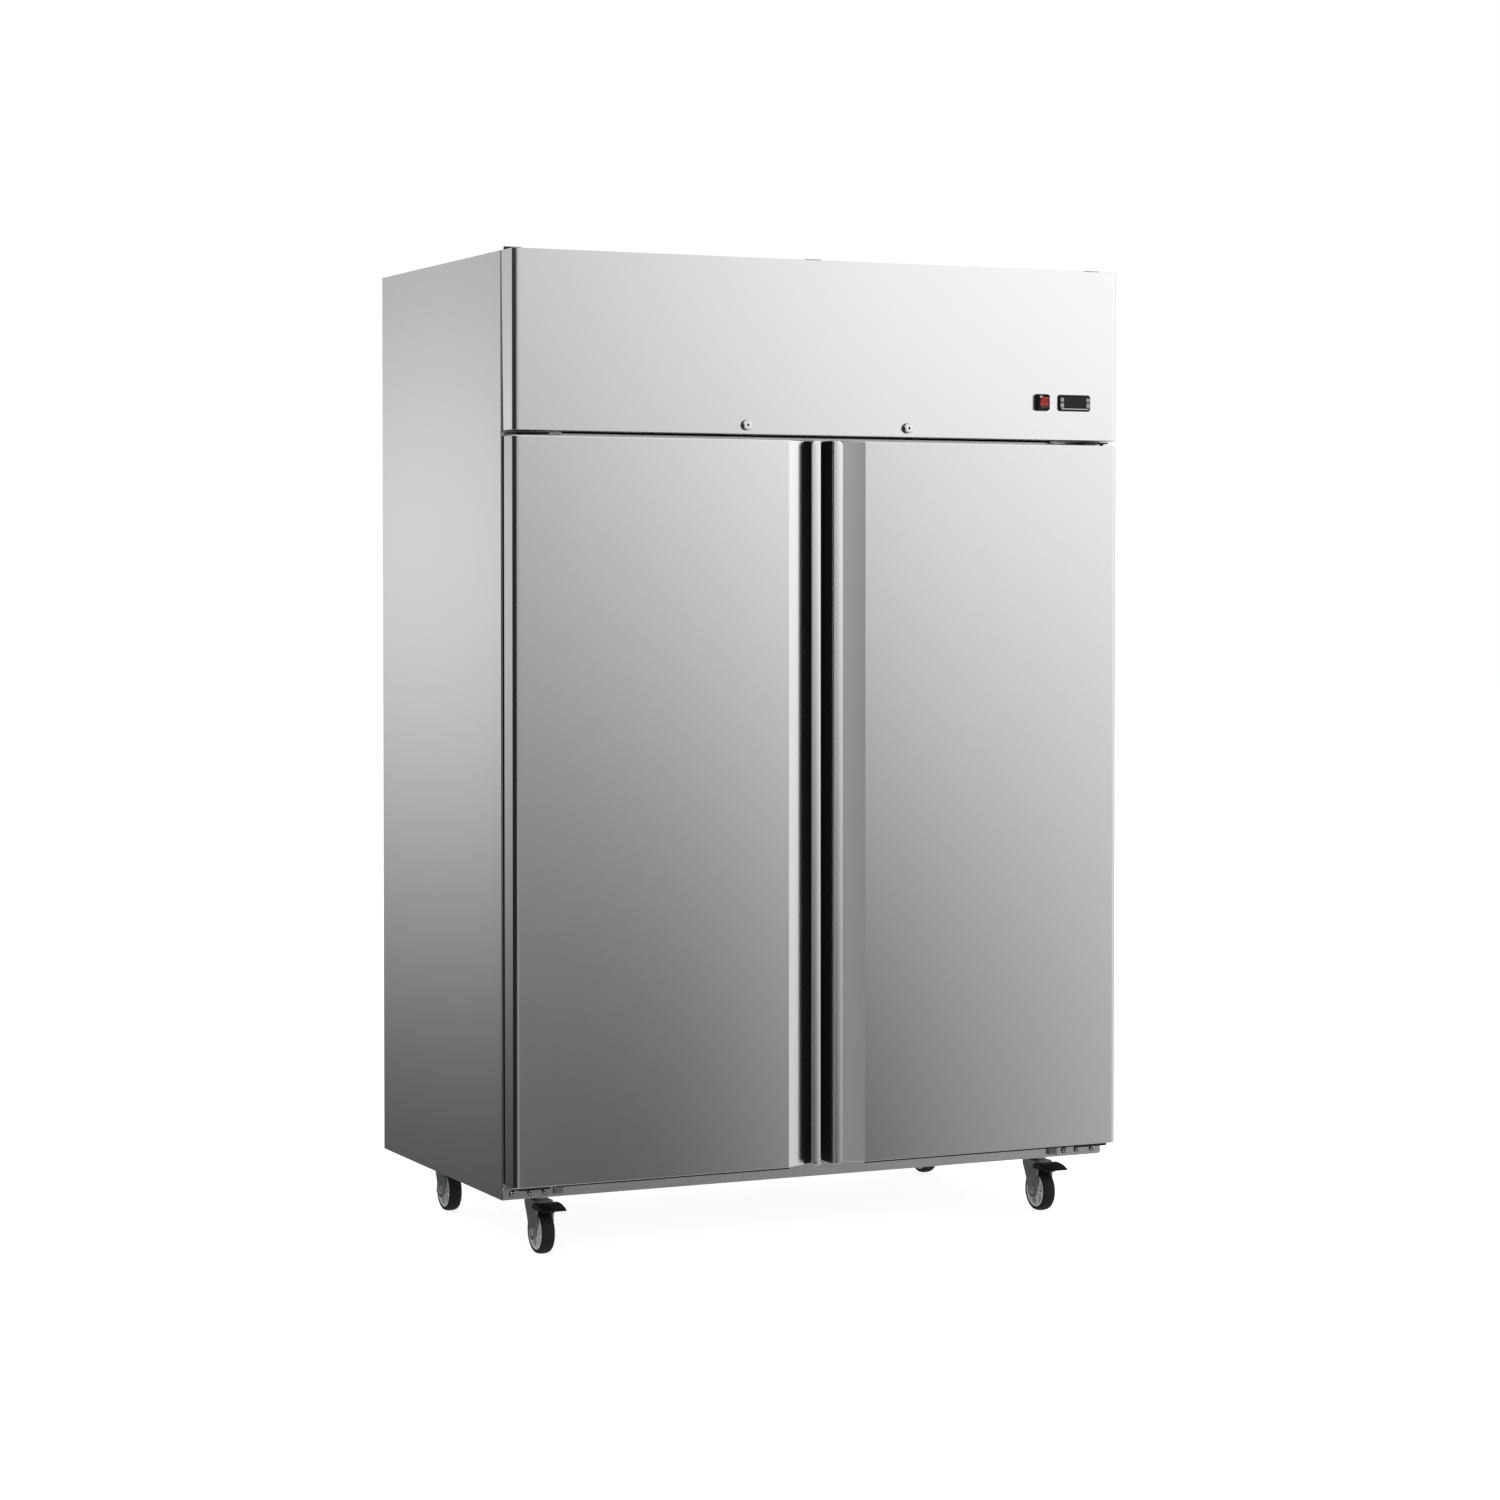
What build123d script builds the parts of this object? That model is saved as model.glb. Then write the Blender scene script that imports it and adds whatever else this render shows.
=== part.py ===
"""Two-door reach-in refrigerator with a top-mounted machine compartment, on four casters.

Millimetres, +Z up, doors facing -Y.  Everything is laid out with y = 0 on the front face of the
cabinet frame and z = 0 on the floor; place() then moves each piece so that the origin lies under
the middle of the whole object.
"""
import os
from math import cos, pi, sin

from build123d import *

# ---- cabinet -------------------------------------------------------------------------------
WIDTH = 1372.0
DEPTH = 712.0
BODY_LOW = 125.0
BODY_TOP = 2007.0
SHEET = 1.5
WALL = 60.0
DECK_Z = 1655.0
HALF = WIDTH / 2
INSIDE_HALF = HALF - WALL
INSIDE_LOW = BODY_LOW + 70.0
INSIDE_TOP = DECK_Z - 70.0
INSIDE_BACK = DEPTH - WALL
LINER = 1.0
MULLION_HALF = 40.0
MULLION_DEPTH = 58.0
TOP_RAIL_HIGH = 1700.0
HEAD_RAIL = 45.0
GRILLE_GRID = (8, 6)
GRILLE_PITCH = (120.0, 26.0)
GRILLE_SLOT = (90.0, 9.0)
GRILLE_START = (-60.0, 1800.0)
VENT_GRID = (9, 5)
VENT_PITCH = (110.0, 50.0)
VENT_SLOT = (80.0, 9.0)
VENT_START_Y = 260.0

# ---- doors ---------------------------------------------------------------------------------
FRONT_Y = -68.0
DOOR_BACK_Y = -16.0
DOOR_LOW = 158.0
DOOR_HIGH = 1641.0
DOOR_OUTER = HALF - 0.5
DOOR_INNER = 12.5
EDGE_RADIUS = 8.0
SKIN = 1.2
RECESS_OUTER = 89.0
RECESS_INNER = 30.0
RECESS_FLOOR_Y = -42.0
PULL_WALL = 6.0
PULL_EDGE = 35.0
PULL_THICK = 5.0
PULL_CORNER = 10.0
CORE_LOW = DOOR_LOW + 10.0
CORE_HIGH = DOOR_HIGH - 17.0
GASKET_WIDE = 16.0
GASKET_CLEAR = 0.3
GASKET_OUTER = 660.0
GASKET_INNER = 26.0
GASKET_INSET = 14.0
DIKE_THICK = 9.0
DIKE_INSET = 20.0

# ---- door hinges ---------------------------------------------------------------------------
HINGE_X = 662.0
HINGE_Y = -42.0
PIN_R = 4.0
RUNNING_CLEAR = 0.05
BRACKET_INNER = 578.0
BRACKET_THICK = 3.0
TOP_PLATE_Z = 1645.0
LOW_FLANGE_Z = 149.0
BOLT_SPOTS = (596.0, 627.0, 665.0)
BOLT_HEAD_R = 5.5
BOLT_HEAD_HIGH = 4.0
BOLT_Z = 138.0
PIN_LONG = 12.0
ARM_INNER = HINGE_X - 62.0
PLATE_INNER = HINGE_X - 104.0
TOP_FLANGE_DEEP = 14.0
TOP_TAB_HIGH = 40.0
DROP_LOW = 127.0
SHIM_WIDE = 20.0
SHIM_LOW = 131.0
SHIM_PROUD = 4.0
SEAT_HALF = 12.0

# ---- flip-up front panel -------------------------------------------------------------------
PANEL_LOW = 1651.0
PANEL_GAP_TOP = 2.0
PANEL_GAP_LOW = 12.0
LIFT_AXIS_Z = BODY_TOP + 4.0
LEAF_SPOTS = (-661.0, 0.0, 661.0)
LEAF_WIDE = 36.0
LEAF_LONG = 28.0
LEAF_THICK = 1.8
KNUCKLE_R = 4.0
LEAF_PIN_R = 1.5
LEAF_CLEAR = 0.3

# ---- door locks ----------------------------------------------------------------------------
LOCK_X = 183.0
LOCK_Z = 1669.0
LOCK_FLANGE_R = 10.5
LOCK_BODY_R = 9.5
LOCK_PLUG_R = 7.0
LOCK_PROUD = 9.0
CAM_Y = -45.0
CAM_REACH = 34.0
CAM_WIDE = 12.0
CAM_THICK = 2.5
SLOT_BEFORE = 10.0
SLOT_AFTER = 36.0
SLOT_Y = (-52.0, -38.0)

# ---- switch and controller -----------------------------------------------------------------
CONTROL_Z = 1729.0
SWITCH_X = 501.0
SWITCH_WIDE = 30.0
SWITCH_HIGH = 36.0
SWITCH_PROUD = 12.0
ROCKER_WIDE = 19.0
ROCKER_HIGH = 26.0
ROCKER_PROUD = 5.0
ROCKER_TILT = 11.0
CASE_X = 579.0
CASE_WIDE = 77.0
CASE_HIGH = 35.0
CASE_PROUD = 5.0
CASE_DEEP = 52.0
KEY_COLUMNS = (-31.0, 31.5)
KEY_ROWS = ((6.5, 8.0), (-5.0, 10.0))
KEY_WIDE = 8.0
KEY_PROUD = 1.2
KEY_TRAVEL = 0.7
KEY_CLEAR = 0.2
CUTOUT_EDGE = 6.0

# ---- casters -------------------------------------------------------------------------------
CASTER_X = 577.0
CASTER_FRONT_Y = 90.0
CASTER_BACK_Y = 625.0
WHEEL_R = 45.0
WHEEL_WIDE = 28.0
RIM_R = 36.5
TRAIL = 25.0
AXLE_R = 5.0
LEG_X = (17.0, 20.0)
FORK_TOP_Z = 106.0
FORK_THICK = 3.0
RACE_R = 24.0
PLATE_X = 100.0
PLATE_Y = 84.0
KING_R = 6.0
HEAD_R = 8.0
HEAD_HIGH = 4.0
TOE_R = 17.0
FORK_FRONT = -TRAIL - 20.0
FORK_BACK = 17.0
CASTER_PLATE = 3.0
RACE_HIGH = 6.0
KING_LOW = 100.0
PEDAL_PIVOT = (-40.0, 99.0)
PIVOT_R = 3.0
PEDAL_HALF = 26.5
PAD_HALF = 13.0

# ---- inside --------------------------------------------------------------------------------
SHELF_LEVELS = (500.0, 810.0, 1120.0)
SHELF_X = (47.0, 619.0)
SHELF_Y = (58.0, 600.0)
SHELF_ROD = 6.0
SHELF_WIRE = 3.6
SHELF_WIRES = 21
PILASTER_WIDE = 18.0
PILASTER_THICK = 5.0
PILASTER_MARGIN = 60.0
PILASTER_INSET = 30.0
POST_PILASTER_Y = 34.0
REAR_PILASTER_X = 52.0
CLIP_HIGH = 8.0
CLIP_REACH = 12.0
COVER_X = 500.0
COVER_Y = (230.0, 640.0)
COVER_LOW = 1440.0
EVAP_FAN_X = 240.0
EVAP_FAN_R = 62.0
EVAP_FAN_DEEP = 26.0
FAN_CLEAR = 4.0
COIL_HALF = 430.0
COIL_Y = (360.0, 560.0)
COIL_GAP = (22.0, 6.0)
END_PLATE = 3.0
END_PLATE_PROUD = 5.0
EVAP_MOTOR_R = 30.0
EVAP_MOTOR_LONG = 50.0
EVAP_ARM_HALF = (70.0, 12.0)

# ---- machine compartment -------------------------------------------------------------------
COMPRESSOR_AT = (-330.0, 380.0)
COMPRESSOR_R = 78.0
COMPRESSOR_HIGH = 150.0
COMPRESSOR_DOME = 45.0
SEAM_PROUD = 4.0
BASE_HALF = (115.0, 80.0)
FOOT_AT = (95.0, 62.0)
FOOT_R = 13.0
FOOT_HIGH = 18.0
BASE_THICK = 3.0
TERMINAL_HALF = 24.0
TERMINAL_Z = (40.0, 100.0)
CONDENSER_X = (-120.0, 280.0)
CONDENSER_Y = (120.0, 185.0)
CONDENSER_Z = (1672.0, 1962.0)
FAN_R = 125.0
FAN_DEEP = 34.0
SHROUD_CLEAR = 6.0
FAN_MOTOR_R = 38.0
FAN_MOTOR_LONG = 56.0
BEND_R = 13.0
BEND_TUBE_R = 4.0
BEND_ROWS = 5
BEND_PITCH = 52.0
DRIER_R = 12.0
DRIER_LONG = 120.0
CONTROL_BOX_X = (400.0, 620.0)
CONTROL_BOX_Y = (60.0, 200.0)
CONTROL_BOX_HIGH = 150.0
LID_PROUD = 4.0
LID_THICK = 3.0
GLAND_X = 560.0
GLAND_Z = 1720.0
GLAND_PROUD = 17.0
GLAND_NECK_R = 8.0
GLAND_BORE_R = 4.5
GLAND_NUT_R = 13.0
GLAND_NUT_HIGH = 5.0

ORIGIN_Y = (FRONT_Y - SWITCH_PROUD - ROCKER_PROUD + DEPTH + GLAND_PROUD) / 2


def block(x, y, z):
    """A box between the low and high values of each axis."""
    size = (x[1] - x[0], y[1] - y[0], z[1] - z[0])
    return Pos((x[0] + x[1]) / 2, (y[0] + y[1]) / 2, (z[0] + z[1]) / 2) * Box(*size)


def rod(axis, centre, radius, length):
    """A cylinder along one axis, centred on a point."""
    turn = {"X": Rot(0, 90, 0), "Y": Rot(90, 0, 0), "Z": Rot(0, 0, 0)}[axis]
    return Pos(*centre) * turn * Cylinder(radius, length)


def upright(line, z):
    """A closed outline in the floor plane, raised between two heights."""
    return Pos(0, 0, z[0]) * extrude(make_face(line), z[1] - z[0], dir=(0, 0, 1))


def side_profile(points, x):
    """A polygon of (y, z) points, extruded between two x values."""
    outline = Polyline(*[(x[0], y, z) for y, z in points], close=True)
    return extrude(make_face(outline), x[1] - x[0], dir=(1, 0, 0))


def both_sides(shapes):
    """The shapes and their mirror images across the middle of the cabinet."""
    return list(shapes) + [mirror(shape, about=Plane.YZ) for shape in shapes]


def solids_of(shapes):
    """Every solid in a list of shapes."""
    return [solid for shape in shapes for solid in shape.solids()]


def place(name, shapes):
    """Write one sub-part, moved so that the origin is under the middle of the object."""
    moved = [Pos(0, -ORIGIN_Y, 0) * solid for solid in solids_of(shapes)]
    export_step(Compound(children=moved) if len(moved) > 1 else moved[0], f"parts/{name}.step")


# ---- cabinet -------------------------------------------------------------------------------
def slot_rows(grid, pitch, size, place_of):
    """Slot cutters in rows; place_of(across, row) gives the centre of each."""
    columns, rows = grid
    first = -pitch[0] * (columns - 1) / 2
    return [Pos(*place_of(first + pitch[0] * i, pitch[1] * row)) * Box(*size)
            for row in range(rows) for i in range(columns)]


def make_shell():
    full_height = (BODY_LOW, BODY_TOP)
    inner = (-HALF + SHEET, HALF - SHEET)
    depth = (0, DEPTH)
    place("side_panel_left", [block((-HALF, -HALF + SHEET), depth, full_height)])
    place("side_panel_right", [block((HALF - SHEET, HALF), depth, full_height)])
    place("back_panel", [block(inner, (DEPTH - SHEET, DEPTH), (BODY_LOW, DECK_Z))])

    grille = block(inner, (DEPTH - SHEET, DEPTH), (DECK_Z, BODY_TOP - SHEET))
    grille -= slot_rows(GRILLE_GRID, GRILLE_PITCH, (GRILLE_SLOT[0], 3 * SHEET, GRILLE_SLOT[1]),
                        lambda across, row: (GRILLE_START[0] + across, DEPTH, GRILLE_START[1] + row))
    grille -= rod("Y", (GLAND_X, DEPTH, GLAND_Z), GLAND_NECK_R, 4 * SHEET)
    place("rear_grille", [grille])

    cover = block(inner, depth, (BODY_TOP - SHEET, BODY_TOP))
    cover -= slot_rows(VENT_GRID, VENT_PITCH, (*VENT_SLOT, 3 * SHEET),
                       lambda across, row: (across, VENT_START_Y + row, BODY_TOP))
    place("top_cover", [cover])

    place("base_pan", [block(inner, (SHEET, DEPTH - SHEET), (BODY_LOW, BODY_LOW + SHEET))])
    place("machine_deck", [block(inner, (SHEET, DEPTH - SHEET), (DECK_Z, DECK_Z + SHEET))])


def make_front_frame():
    face = (0, SHEET)
    stile = (INSIDE_HALF, HALF - SHEET)
    frame = both_sides([block(stile, face, (BODY_LOW, TOP_RAIL_HIGH))])
    between = (-INSIDE_HALF, INSIDE_HALF)
    frame.append(block(between, face, (BODY_LOW, INSIDE_LOW)))
    frame.append(block(between, face, (INSIDE_TOP, TOP_RAIL_HIGH)))
    frame.append(block((-MULLION_HALF, MULLION_HALF), face, (INSIDE_LOW, INSIDE_TOP)))
    frame.append(block((-HALF + SHEET, HALF - SHEET), face, (BODY_TOP - HEAD_RAIL, BODY_TOP - SHEET)))
    place("front_frame", frame)


def make_walls():
    """Foamed walls and the stainless lining of the storage space."""
    wide = (-HALF + SHEET, HALF - SHEET)
    deep = (SHEET, DEPTH - SHEET)
    lined = INSIDE_HALF + LINER
    tall = (INSIDE_LOW - LINER, INSIDE_TOP + LINER)
    foam = both_sides([block((lined, HALF - SHEET), deep, tall)])
    foam.append(block((-lined, lined), (INSIDE_BACK + LINER, DEPTH - SHEET), tall))
    foam.append(block(wide, deep, (tall[1], DECK_Z)))
    foam.append(block(wide, deep, (BODY_LOW + SHEET, tall[0])))
    core = MULLION_HALF - LINER
    foam.append(block((-core, core), (SHEET, MULLION_DEPTH - LINER), tall))
    place("insulation_foam", foam)

    inner = (-INSIDE_HALF, INSIDE_HALF)
    room = (SHEET, INSIDE_BACK)
    lining = both_sides([block((INSIDE_HALF, lined), (SHEET, INSIDE_BACK + LINER), tall)])
    lining.append(block(inner, (INSIDE_BACK, INSIDE_BACK + LINER), tall))
    lining.append(block((core, INSIDE_HALF), room, (tall[0], INSIDE_LOW)))
    lining.append(block((-INSIDE_HALF, -core), room, (tall[0], INSIDE_LOW)))
    lining.append(block((-core, core), (MULLION_DEPTH, INSIDE_BACK), (tall[0], INSIDE_LOW)))
    lining.append(block((core, INSIDE_HALF), room, (INSIDE_TOP, tall[1])))
    lining.append(block((-INSIDE_HALF, -core), room, (INSIDE_TOP, tall[1])))
    lining.append(block((-core, core), (MULLION_DEPTH, INSIDE_BACK), (INSIDE_TOP, tall[1])))
    post = (INSIDE_LOW, INSIDE_TOP)
    lining += both_sides([block((core, MULLION_HALF), (SHEET, MULLION_DEPTH), post)])
    lining.append(block((-core, core), (MULLION_DEPTH - LINER, MULLION_DEPTH), post))
    place("cabinet_liner", lining)


# ---- shelves -------------------------------------------------------------------------------
def make_shelves():
    x0, x1 = SHELF_X
    y0, y1 = SHELF_Y
    rod_z = (-SHELF_ROD / 2, SHELF_ROD / 2)
    wire_z = (-SHELF_WIRE / 2, SHELF_WIRE / 2)
    frame = block(SHELF_X, SHELF_Y, rod_z)
    frame -= block((x0 + SHELF_ROD, x1 - SHELF_ROD), (y0 + SHELF_ROD, y1 - SHELF_ROD), rod_z)
    bars = []
    for i in (1, 2):
        y = y0 + (y1 - y0) * i / 3
        bars.append(block((x0 + 1, x1 - 1), (y - SHELF_ROD / 2, y + SHELF_ROD / 2), rod_z))
    pitch = (x1 - x0 - SHELF_ROD) / (SHELF_WIRES + 1)
    for i in range(SHELF_WIRES):
        x = x0 + SHELF_ROD / 2 + pitch * (i + 1)
        bars.append(block((x - SHELF_WIRE / 2, x + SHELF_WIRE / 2), (y0 + 1, y1 - 1), wire_z))
    shelf = frame.fuse(*bars)
    place("wire_shelves", both_sides([Pos(0, 0, z) * shelf for z in SHELF_LEVELS]))


def make_shelf_supports():
    """Slotted pilasters at the corners of each bay, with four clips under each shelf."""
    tall = (INSIDE_LOW + PILASTER_MARGIN, COVER_LOW - PILASTER_MARGIN)
    ends = (SHELF_Y[0] + PILASTER_INSET, SHELF_Y[1] - PILASTER_INSET)
    half = PILASTER_WIDE / 2
    supports = []
    for y in ends:
        supports.append(block((INSIDE_HALF - PILASTER_THICK, INSIDE_HALF), (y - half, y + half), tall))
    front = (MULLION_HALF, MULLION_HALF + PILASTER_THICK)
    front_y = (POST_PILASTER_Y, POST_PILASTER_Y + PILASTER_WIDE)
    supports.append(block(front, front_y, tall))
    rear = (INSIDE_BACK - PILASTER_THICK, INSIDE_BACK)
    rear_x = (REAR_PILASTER_X, REAR_PILASTER_X + PILASTER_WIDE)
    supports.append(block(rear_x, rear, tall))
    for level in SHELF_LEVELS:
        z = (level - SHELF_ROD / 2 - CLIP_HIGH, level - SHELF_ROD / 2)
        inner_face = INSIDE_HALF - PILASTER_THICK
        for y in ends:
            clip_y = (y - CLIP_REACH / 2, y + CLIP_REACH / 2)
            supports.append(block((inner_face - CLIP_REACH, inner_face), clip_y, z))
        clip_y = (POST_PILASTER_Y + 3, SHELF_Y[0] + CLIP_REACH)
        supports.append(block((front[1], front[1] + CLIP_REACH), clip_y, z))
        clip_x = (REAR_PILASTER_X + 3, REAR_PILASTER_X + 3 + CLIP_REACH)
        supports.append(block(clip_x, (SHELF_Y[1] - CLIP_REACH, rear[0]), z))
    place("shelf_supports", both_sides(supports))


# ---- evaporator ----------------------------------------------------------------------------
def fan(centre, hub_r, tip_r, blades, depth):
    """A one-piece axial fan about the Y axis."""
    wheel = rod("Y", (0, 0, 0), hub_r, depth)
    span = tip_r - hub_r + 4
    for i in range(blades):
        blade = Pos(hub_r - 4 + span / 2, 0, 0) * Rot(32, 0, 0) * Box(span, 2.0, hub_r * 1.5)
        wheel += Rot(0, 360 / blades * i, 0) * blade
    return Pos(*centre) * wheel


def make_evaporator():
    y0, y1 = COVER_Y
    top = INSIDE_TOP
    fan_z = (COVER_LOW + top) / 2
    front = block((-COVER_X, COVER_X), (y0, y0 + SHEET), (COVER_LOW, top))
    for x in (-EVAP_FAN_X, EVAP_FAN_X):
        front -= rod("Y", (x, y0, fan_z), EVAP_FAN_R + FAN_CLEAR, 4 * SHEET)
    inner = (y0 + SHEET, y1)
    cover = [front, block((-COVER_X, COVER_X), inner, (COVER_LOW, COVER_LOW + SHEET))]
    high = (COVER_LOW + SHEET, top)
    cover += both_sides([block((COVER_X - SHEET, COVER_X), inner, high)])
    place("evaporator_cover", cover)

    coil_z = (COVER_LOW + COIL_GAP[0], top - COIL_GAP[1])
    plate_y = (COIL_Y[0] - END_PLATE_PROUD, COIL_Y[1] + END_PLATE_PROUD)
    plate_z = (coil_z[0] - END_PLATE_PROUD, top - 1)
    coil = [block((-COIL_HALF, COIL_HALF), COIL_Y, coil_z)]
    coil += both_sides([block((COIL_HALF, COIL_HALF + END_PLATE), plate_y, plate_z)])
    fan_y = y0 + EVAP_FAN_DEEP
    motor_y = (fan_y + EVAP_FAN_DEEP, fan_y + EVAP_FAN_DEEP + EVAP_MOTOR_LONG)
    arm_x, arm_z = EVAP_ARM_HALF
    for x in (-EVAP_FAN_X, EVAP_FAN_X):
        coil.append(rod("Y", (x, sum(motor_y) / 2, fan_z), EVAP_MOTOR_R, EVAP_MOTOR_LONG))
        coil.append(block((x - arm_x, x + arm_x), (motor_y[1], motor_y[1] + END_PLATE),
                          (fan_z - arm_z, fan_z + arm_z)))
    place("evaporator_coil", coil)
    for side, x in (("left", -EVAP_FAN_X), ("right", EVAP_FAN_X)):
        place(f"evaporator_fan_{side}", [fan((x, fan_y, fan_z), 17, EVAP_FAN_R, 5, EVAP_FAN_DEEP)])


# ---- machine compartment -------------------------------------------------------------------
def make_compressor():
    x, y = COMPRESSOR_AT
    floor = DECK_Z + SHEET
    low = floor + FOOT_HIGH
    r = COMPRESSOR_R
    wide, deep = BASE_HALF
    base = block((x - wide, x + wide), (y - deep, y + deep), (low, low + BASE_THICK))
    feet = [rod("Z", (x + i * FOOT_AT[0], y + j * FOOT_AT[1], floor + FOOT_HIGH / 2), FOOT_R, FOOT_HIGH)
            for i in (-1, 1) for j in (-1, 1)]
    middle = low + BASE_THICK + COMPRESSOR_HIGH / 2
    shell = rod("Z", (x, y, middle), r, COMPRESSOR_HIGH)
    shell += rod("Z", (x, y, middle + SEAM_PROUD), r + SEAM_PROUD, 2 * SEAM_PROUD)
    shell = fillet(shell.edges().group_by(Axis.Z)[-1], COMPRESSOR_DOME)
    terminal = block((x + r - 2, x + r + TERMINAL_HALF), (y - TERMINAL_HALF, y + TERMINAL_HALF),
                     (low + TERMINAL_Z[0], low + TERMINAL_Z[1]))
    place("compressor", [base, shell + terminal] + feet)


def make_condenser():
    x0, x1 = CONDENSER_X
    y0, y1 = CONDENSER_Y
    z0, z1 = CONDENSER_Z
    feet_z = (DECK_Z + SHEET, z1)
    coil = [block((x0, x1), CONDENSER_Y, CONDENSER_Z)]
    coil += [block(edge, (y0 - 6, y1 + 6), feet_z) for edge in ((x0 - 2, x0), (x1, x1 + 2))]
    for row in range(BEND_ROWS):
        bend = (x1 + 2, (y0 + y1) / 2, z0 + 3 * BEND_R + BEND_PITCH * row)
        loop = Pos(*bend) * Rot(90, 0, 0) * Torus(BEND_R, BEND_TUBE_R)
        coil.append(loop & block((x1 + 2, x1 + 3 * BEND_R), (y0, y1), CONDENSER_Z))
    place("condenser_coil", coil)

    fan_x, fan_z = (x0 + x1) / 2, (z0 + z1) / 2
    plate = block((x0 + 10, x1 - 10), (y1 + 6, y1 + 8), (DECK_Z + SHEET, z1))
    plate -= rod("Y", (fan_x, y1, fan_z), FAN_R + SHROUD_CLEAR, 30)
    ring = rod("Y", (fan_x, y1 + 20, fan_z), FAN_R + SHROUD_CLEAR + 2, 24)
    ring -= rod("Y", (fan_x, y1 + 20, fan_z), FAN_R + SHROUD_CLEAR, 30)
    motor = rod("Y", (fan_x, y1 + 44 + FAN_MOTOR_LONG / 2, fan_z), FAN_MOTOR_R, FAN_MOTOR_LONG)
    arm_x = (fan_x - FAN_R - 2 * SHROUD_CLEAR, fan_x + FAN_R + 2 * SHROUD_CLEAR)
    arm_z = (fan_z - 10, fan_z + 10)
    arm = block(arm_x, (y1 + 50, y1 + 54), arm_z)
    struts = [block((x - 2, x + 2), (y1 + 8, y1 + 50), arm_z) for x in arm_x]
    place("fan_shroud", [plate + ring, motor + arm] + struts)
    place("condenser_fan", [fan((fan_x, y1 + 22, fan_z), 26, FAN_R, 5, FAN_DEEP)])


def tube(points, radius, bend):
    """A round tube along straight runs joined by bends."""
    path = FilletPolyline(*points, radius=bend)
    start = Plane(origin=path @ 0, z_dir=path % 0)
    return sweep(start * Circle(radius), path=path)


def make_pipes():
    x, y = COMPRESSOR_AT
    side_y = y - COMPRESSOR_R
    to_x = CONDENSER_X[0] - 2
    discharge = tube([(x, side_y, 1780), (x, side_y - 60, 1780), (x, side_y - 60, 1930),
                      (to_x - 60, side_y - 60, 1930), (to_x - 60, 150, 1930), (to_x, 150, 1930)], 4, 18)
    liquid = tube([(to_x, 150, 1700), (to_x - 40, 150, 1700), (to_x - 40, 60, 1700),
                   (to_x - 160, 60, 1700)], 3, 15)
    drier = rod("X", (to_x - 160 - DRIER_LONG / 2, 60, 1700), DRIER_R, DRIER_LONG)
    suction = tube([(x, y + COMPRESSOR_R, 1790), (x, y + 150, 1790),
                    (x, y + 150, DECK_Z + SHEET)], 6, 25)
    place("refrigerant_pipes", [discharge, liquid, drier, suction])


def make_electrics():
    floor = DECK_Z + SHEET
    top = floor + CONTROL_BOX_HIGH
    box = block(CONTROL_BOX_X, CONTROL_BOX_Y, (floor, top))
    (x0, x1), (y0, y1) = CONTROL_BOX_X, CONTROL_BOX_Y
    lid = block((x0 - LID_PROUD, x1 + LID_PROUD), (y0 - LID_PROUD, y1 + LID_PROUD), (top, top + LID_THICK))
    place("control_box", [fillet(box.edges().filter_by(Axis.Z), 4), lid])

    hexagon = extrude(RegularPolygon(GLAND_NUT_R, 6), GLAND_NUT_HIGH / 2, both=True)
    nut = Pos(GLAND_X, DEPTH + GLAND_NUT_HIGH / 2, GLAND_Z) * Rot(90, 0, 0) * hexagon
    dome_long = GLAND_PROUD - GLAND_NUT_HIGH
    dome_at = Pos(GLAND_X, DEPTH + GLAND_NUT_HIGH + dome_long / 2, GLAND_Z)
    dome = dome_at * Rot(-90, 0, 0) * Cone(GLAND_NECK_R + 2, GLAND_NECK_R - 1, dome_long)
    neck = rod("Y", (GLAND_X, DEPTH - GLAND_NECK_R, GLAND_Z), GLAND_NECK_R, 2 * GLAND_NECK_R)
    bore = rod("Y", (GLAND_X, DEPTH, GLAND_Z), GLAND_BORE_R, 80)
    place("cord_gland", [nut + dome + neck - bore])


# ---- doors ---------------------------------------------------------------------------------
def pull_lip():
    """The hooked grip strip that covers part of the handle recess."""
    wall = DOOR_INNER + PULL_WALL
    strip = block((wall, PULL_EDGE), (FRONT_Y, FRONT_Y + PULL_THICK), (DOOR_LOW, DOOR_HIGH))
    free_edge = strip.edges().filter_by(Axis.Y).group_by(Axis.X)[-1]
    strip = fillet(free_edge, PULL_CORNER)
    corner_gap = EDGE_RADIUS - (EDGE_RADIUS ** 2 - (EDGE_RADIUS - PULL_WALL) ** 2) ** 0.5
    trim = block((wall - 1, wall + 2), (FRONT_Y - 1, FRONT_Y + corner_gap), (DOOR_LOW, DOOR_HIGH))
    return strip - trim


def behind_recess(z):
    """What lies behind the handle recess: a straight part behind its floor, a wedge behind its slope."""
    back = DOOR_BACK_Y - SKIN
    floor = RECESS_FLOOR_Y + SKIN
    straight = block((DOOR_INNER + PULL_WALL, RECESS_INNER), (floor, back), z)
    wedge = Polyline((RECESS_INNER, back), (RECESS_INNER, floor),
                     (RECESS_OUTER, FRONT_Y + SKIN), (RECESS_OUTER, back), close=True)
    return [straight, upright(wedge, z)]


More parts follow.
